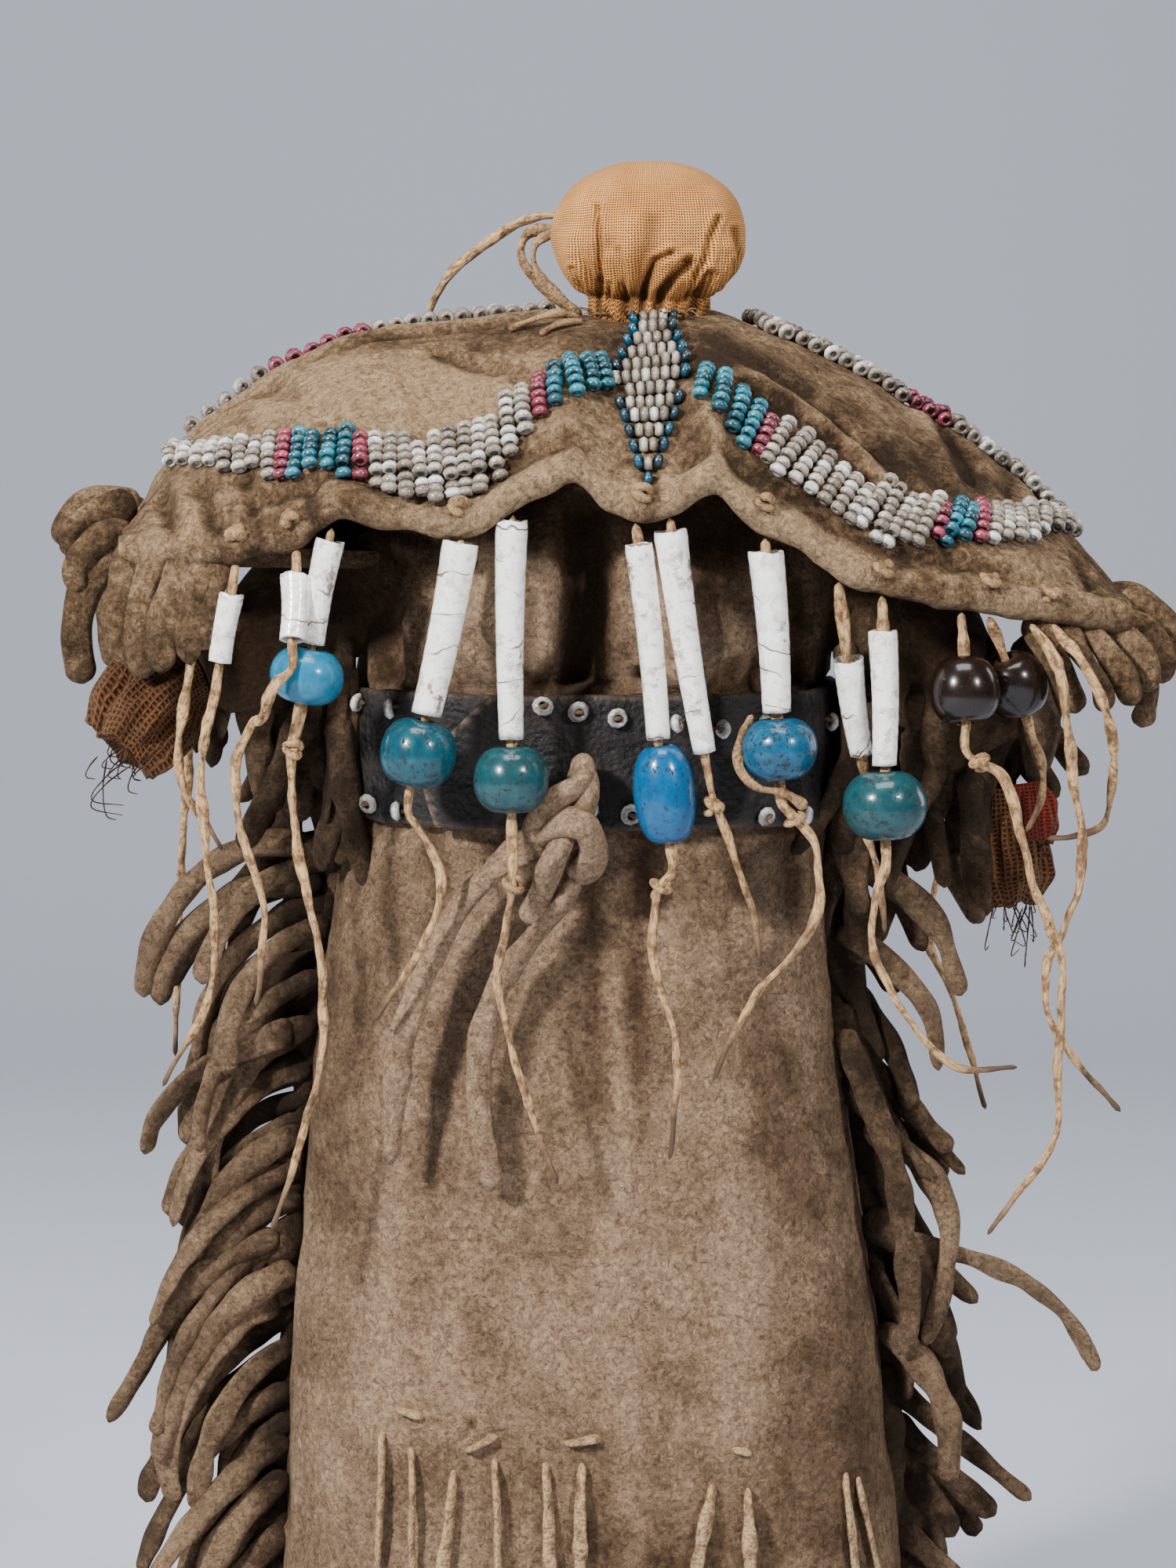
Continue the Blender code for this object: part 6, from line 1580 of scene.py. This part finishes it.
bm = new_shape()
for number, (x0, z0, x1, z1) in enumerate(STITCHES):
    a, b = (Vector((p.x, skirt_front(p.x, p.z), p.z)) for p in in_metres(((x0, 0, z0), (x1, 0, z1))))
    middle = (a + b) / 2 + Vector((0, -0.9 * MM, 0))
    inward = Vector((0, 1.6 * MM, 0))
    route = [a + inward, a.lerp(middle, 0.3) - inward * 0.3, middle,
             b.lerp(middle, 0.3) - inward * 0.3, b + inward]
    add_strand(bm, smooth_line(route, 0.3 * MM), 1.15 * MM, 0.5, 0.1, 10, 1.0, 0.1, number)
for number, (x, z, x_end) in enumerate(ENDS):
    length = dice.uniform(23, 26.5)
    route = [Vector((x, skirt_front(x * MM, z * MM) / MM + 1.8, z + 0.6)) * MM]
    for share, off in ((0.05, -0.8), (0.3, -1.8), (0.65, -2.0), (1.0, -1.6)):
        px, pz = lerp(x, x_end, share), z - length * share
        py = skirt_front(px * MM, pz * MM) / MM + off
        route.append(Vector((px + dice.uniform(-0.5, 0.5) * share, py, pz)) * MM)
    add_strand(bm, smooth_line(route, 0.5 * MM), 1.35 * MM, 0.5, dice.uniform(-0.6, 0.6), 10, 0.75, 0.15,
               number + 20)
small_ends = add_piece("skirt_thong_ends", bm, SOFT_THONG, "smoked_hide", ["dress"])
paint(small_ends, "stain_and_shade", lambda point: 0.05 + 0.2 * max(0.0, lumps(point, 5 * MM, 3)))

NECK_ENDS = [
    [(-4.0, -9.0, 276.5), (-8.0, -11.5, 277.4), (-12.5, -12.5, 276.2), (-16.5, -13, 274.6)],
    [(-3.5, -10.5, 276.0), (-7.5, -13.5, 275.6), (-11.0, -15.5, 273.8)],
]
# A second loop beside the neck, and the thong that holds the teal bead on the right from below.
LOOPS = [
    [(-3.5, 8.5, 276.8), (-8.5, 9.0, 280.5), (-12.0, 9.6, 285.5), (-11.8, 10.4, 289.6), (-8.0, 11.0, 291.8)],
    [(25.6, -42.5, 209.4), (23.6, -44.0, 205), (23.4, -44.6, 200.5), (26.4, -45.2, 197.2), (31.0, -45.0, 196.2),
     (35.0, -44.4, 193.6)],
]
bm = new_shape()
for number, route in enumerate(NECK_ENDS):
    add_strand(bm, smooth_line(in_metres(route), 0.4 * MM), 0.85 * MM, 0.7, 0.8, 8, 0.7, 0.15, number)
# Frayed sinew, sixteen hairs of it, from under the gathered cloth at the front.
for number in range(16):
    angle = math.radians(dice.uniform(200, 335))
    root = Vector((HEAD_X + 11.0 * MM * math.cos(angle), HEAD_Y + 9.5 * MM * math.sin(angle), 0))
    root.z = lane_place(root.x, root.y)[0].z + 1.0 * MM
    way = Vector((math.cos(angle), math.sin(angle), dice.uniform(-0.15, 0.5))) * dice.uniform(2, 5) * MM
    route = [root - way * 0.4, root, root + way * 0.5 + lift(0.4 * MM), root + way]
    add_strand(bm, smooth_line(route, 0.5 * MM), 0.26 * MM, 0.7, 0.5, 6, 0.5, 0.2, number)
for number, route in enumerate(LOOPS):
    add_strand(bm, smooth_line(in_metres(route), 0.5 * MM), 1.1 * MM, 0.6, 0.8, 10, 0.85, 0.18, number + 30)
# Every second thong at the front shows its knot on top of the rim.
for number, name in enumerate([key for key in thongs if key.startswith("thong_")][::2]):
    x = ROUTES[name][0][0] * MM
    top = Vector((x + dice.uniform(-1, 1) * MM, -rim_depth(x) - 0.2 * MM,
                  rim_height(x) + dice.uniform(1.6, 3.0) * MM))
    add_knot(bm, top, 1.1 * MM, 1.05 * MM, number)
neck_ends = add_piece("neck_ends", bm, RAWHIDE, "rawhide_thong", ["yoke"])
paint(neck_ends, "stain_and_shade", lambda point: 0.35)
count(small_ends, neck_ends)

# %% [markdown]
# ## The studio
# A pale sheet of card is the floor and, bent up behind, the backdrop. A small lamp high on the left throws
# the long shadows of the thongs onto the skirt, and a weaker one on the right answers it, so every bead has
# two small lights. A soft lamp above lights the shoulders, a weak wide one fills the shadows from the front,
# and one behind each side picks out the fringes.

# %% Floor, backdrop and lights
FLAT_TO, BEND = 0.9, 0.6


def floor_place(u, v):
    """The card lies flat up to a line behind the doll, bends up through a quarter circle, and stands."""
    x, run = lerp(-2.2, 2.2, u), lerp(-2.4, 3.0, v)
    if run < FLAT_TO:
        return Vector((x, run, 0))
    turn = min(math.pi / 2, (run - FLAT_TO) / BEND)
    rest = max(0.0, run - FLAT_TO - BEND * math.pi / 2)
    return Vector((x, FLAT_TO + BEND * math.sin(turn), BEND * (1 - math.cos(turn)) + rest))


bm = new_shape()
bend_grid(bm, 2, 90, floor_place, weld=False, close=False)
card, _, shader, _ = new_finish("studio_card", 0.9)
shader.inputs["Base Color"].default_value = (0.52, 0.55, 0.62, 1.0)
floor = new_object("studio_card", bm, card)
floor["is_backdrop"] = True

AIM_AT = Vector((0, 0, 0.20))


def add_lamp(name, place, wide, high, power, colour=(1.0, 1.0, 1.0)):
    data = bpy.data.lights.new(name, "AREA")
    data.shape = "RECTANGLE"
    data.size, data.size_y, data.energy, data.color = wide, high, power, colour
    lamp = bpy.data.objects.new(name, data)
    lamp.location = Vector(place)
    lamp.rotation_euler = (AIM_AT - lamp.location).to_track_quat("-Z", "Y").to_euler()
    bpy.context.scene.collection.objects.link(lamp)


add_lamp("lamp_left", (-0.72, -0.85, 0.80), 0.12, 0.12, 30.0)
add_lamp("lamp_right", (0.74, -0.85, 0.78), 0.10, 0.10, 11.0)
add_lamp("lamp_top", (0.0, -0.25, 1.15), 0.6, 0.4, 8.0)
add_lamp("lamp_fill", (0.0, -1.5, 0.35), 1.2, 0.8, 0.5)
add_lamp("lamp_rim_left", (-0.9, 0.45, 0.45), 0.3, 0.7, 5.0, (0.93, 0.96, 1.0))
add_lamp("lamp_rim_right", (0.9, 0.45, 0.45), 0.3, 0.7, 4.0, (0.93, 0.96, 1.0))
world = bpy.data.worlds.new("studio_air")
bpy.context.scene.world = world
world.use_nodes = True
air = world.node_tree.nodes["Background"]
air.inputs["Color"].default_value = (0.90, 0.94, 1.0, 1.0)
air.inputs["Strength"].default_value = 0.06
print("a card and", len(bpy.data.lights), "lamps")

# %% [markdown]
# ## The size
# The finished doll should fill the imported model's box and hardly leave it.

# %% Write both boxes, and finish
low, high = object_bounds()
for title, box in (("packed", (cad_low, cad_high)), ("finished", (low, high))):
    print(title, [[round(value / MM, 1) for value in corner] for corner in box])
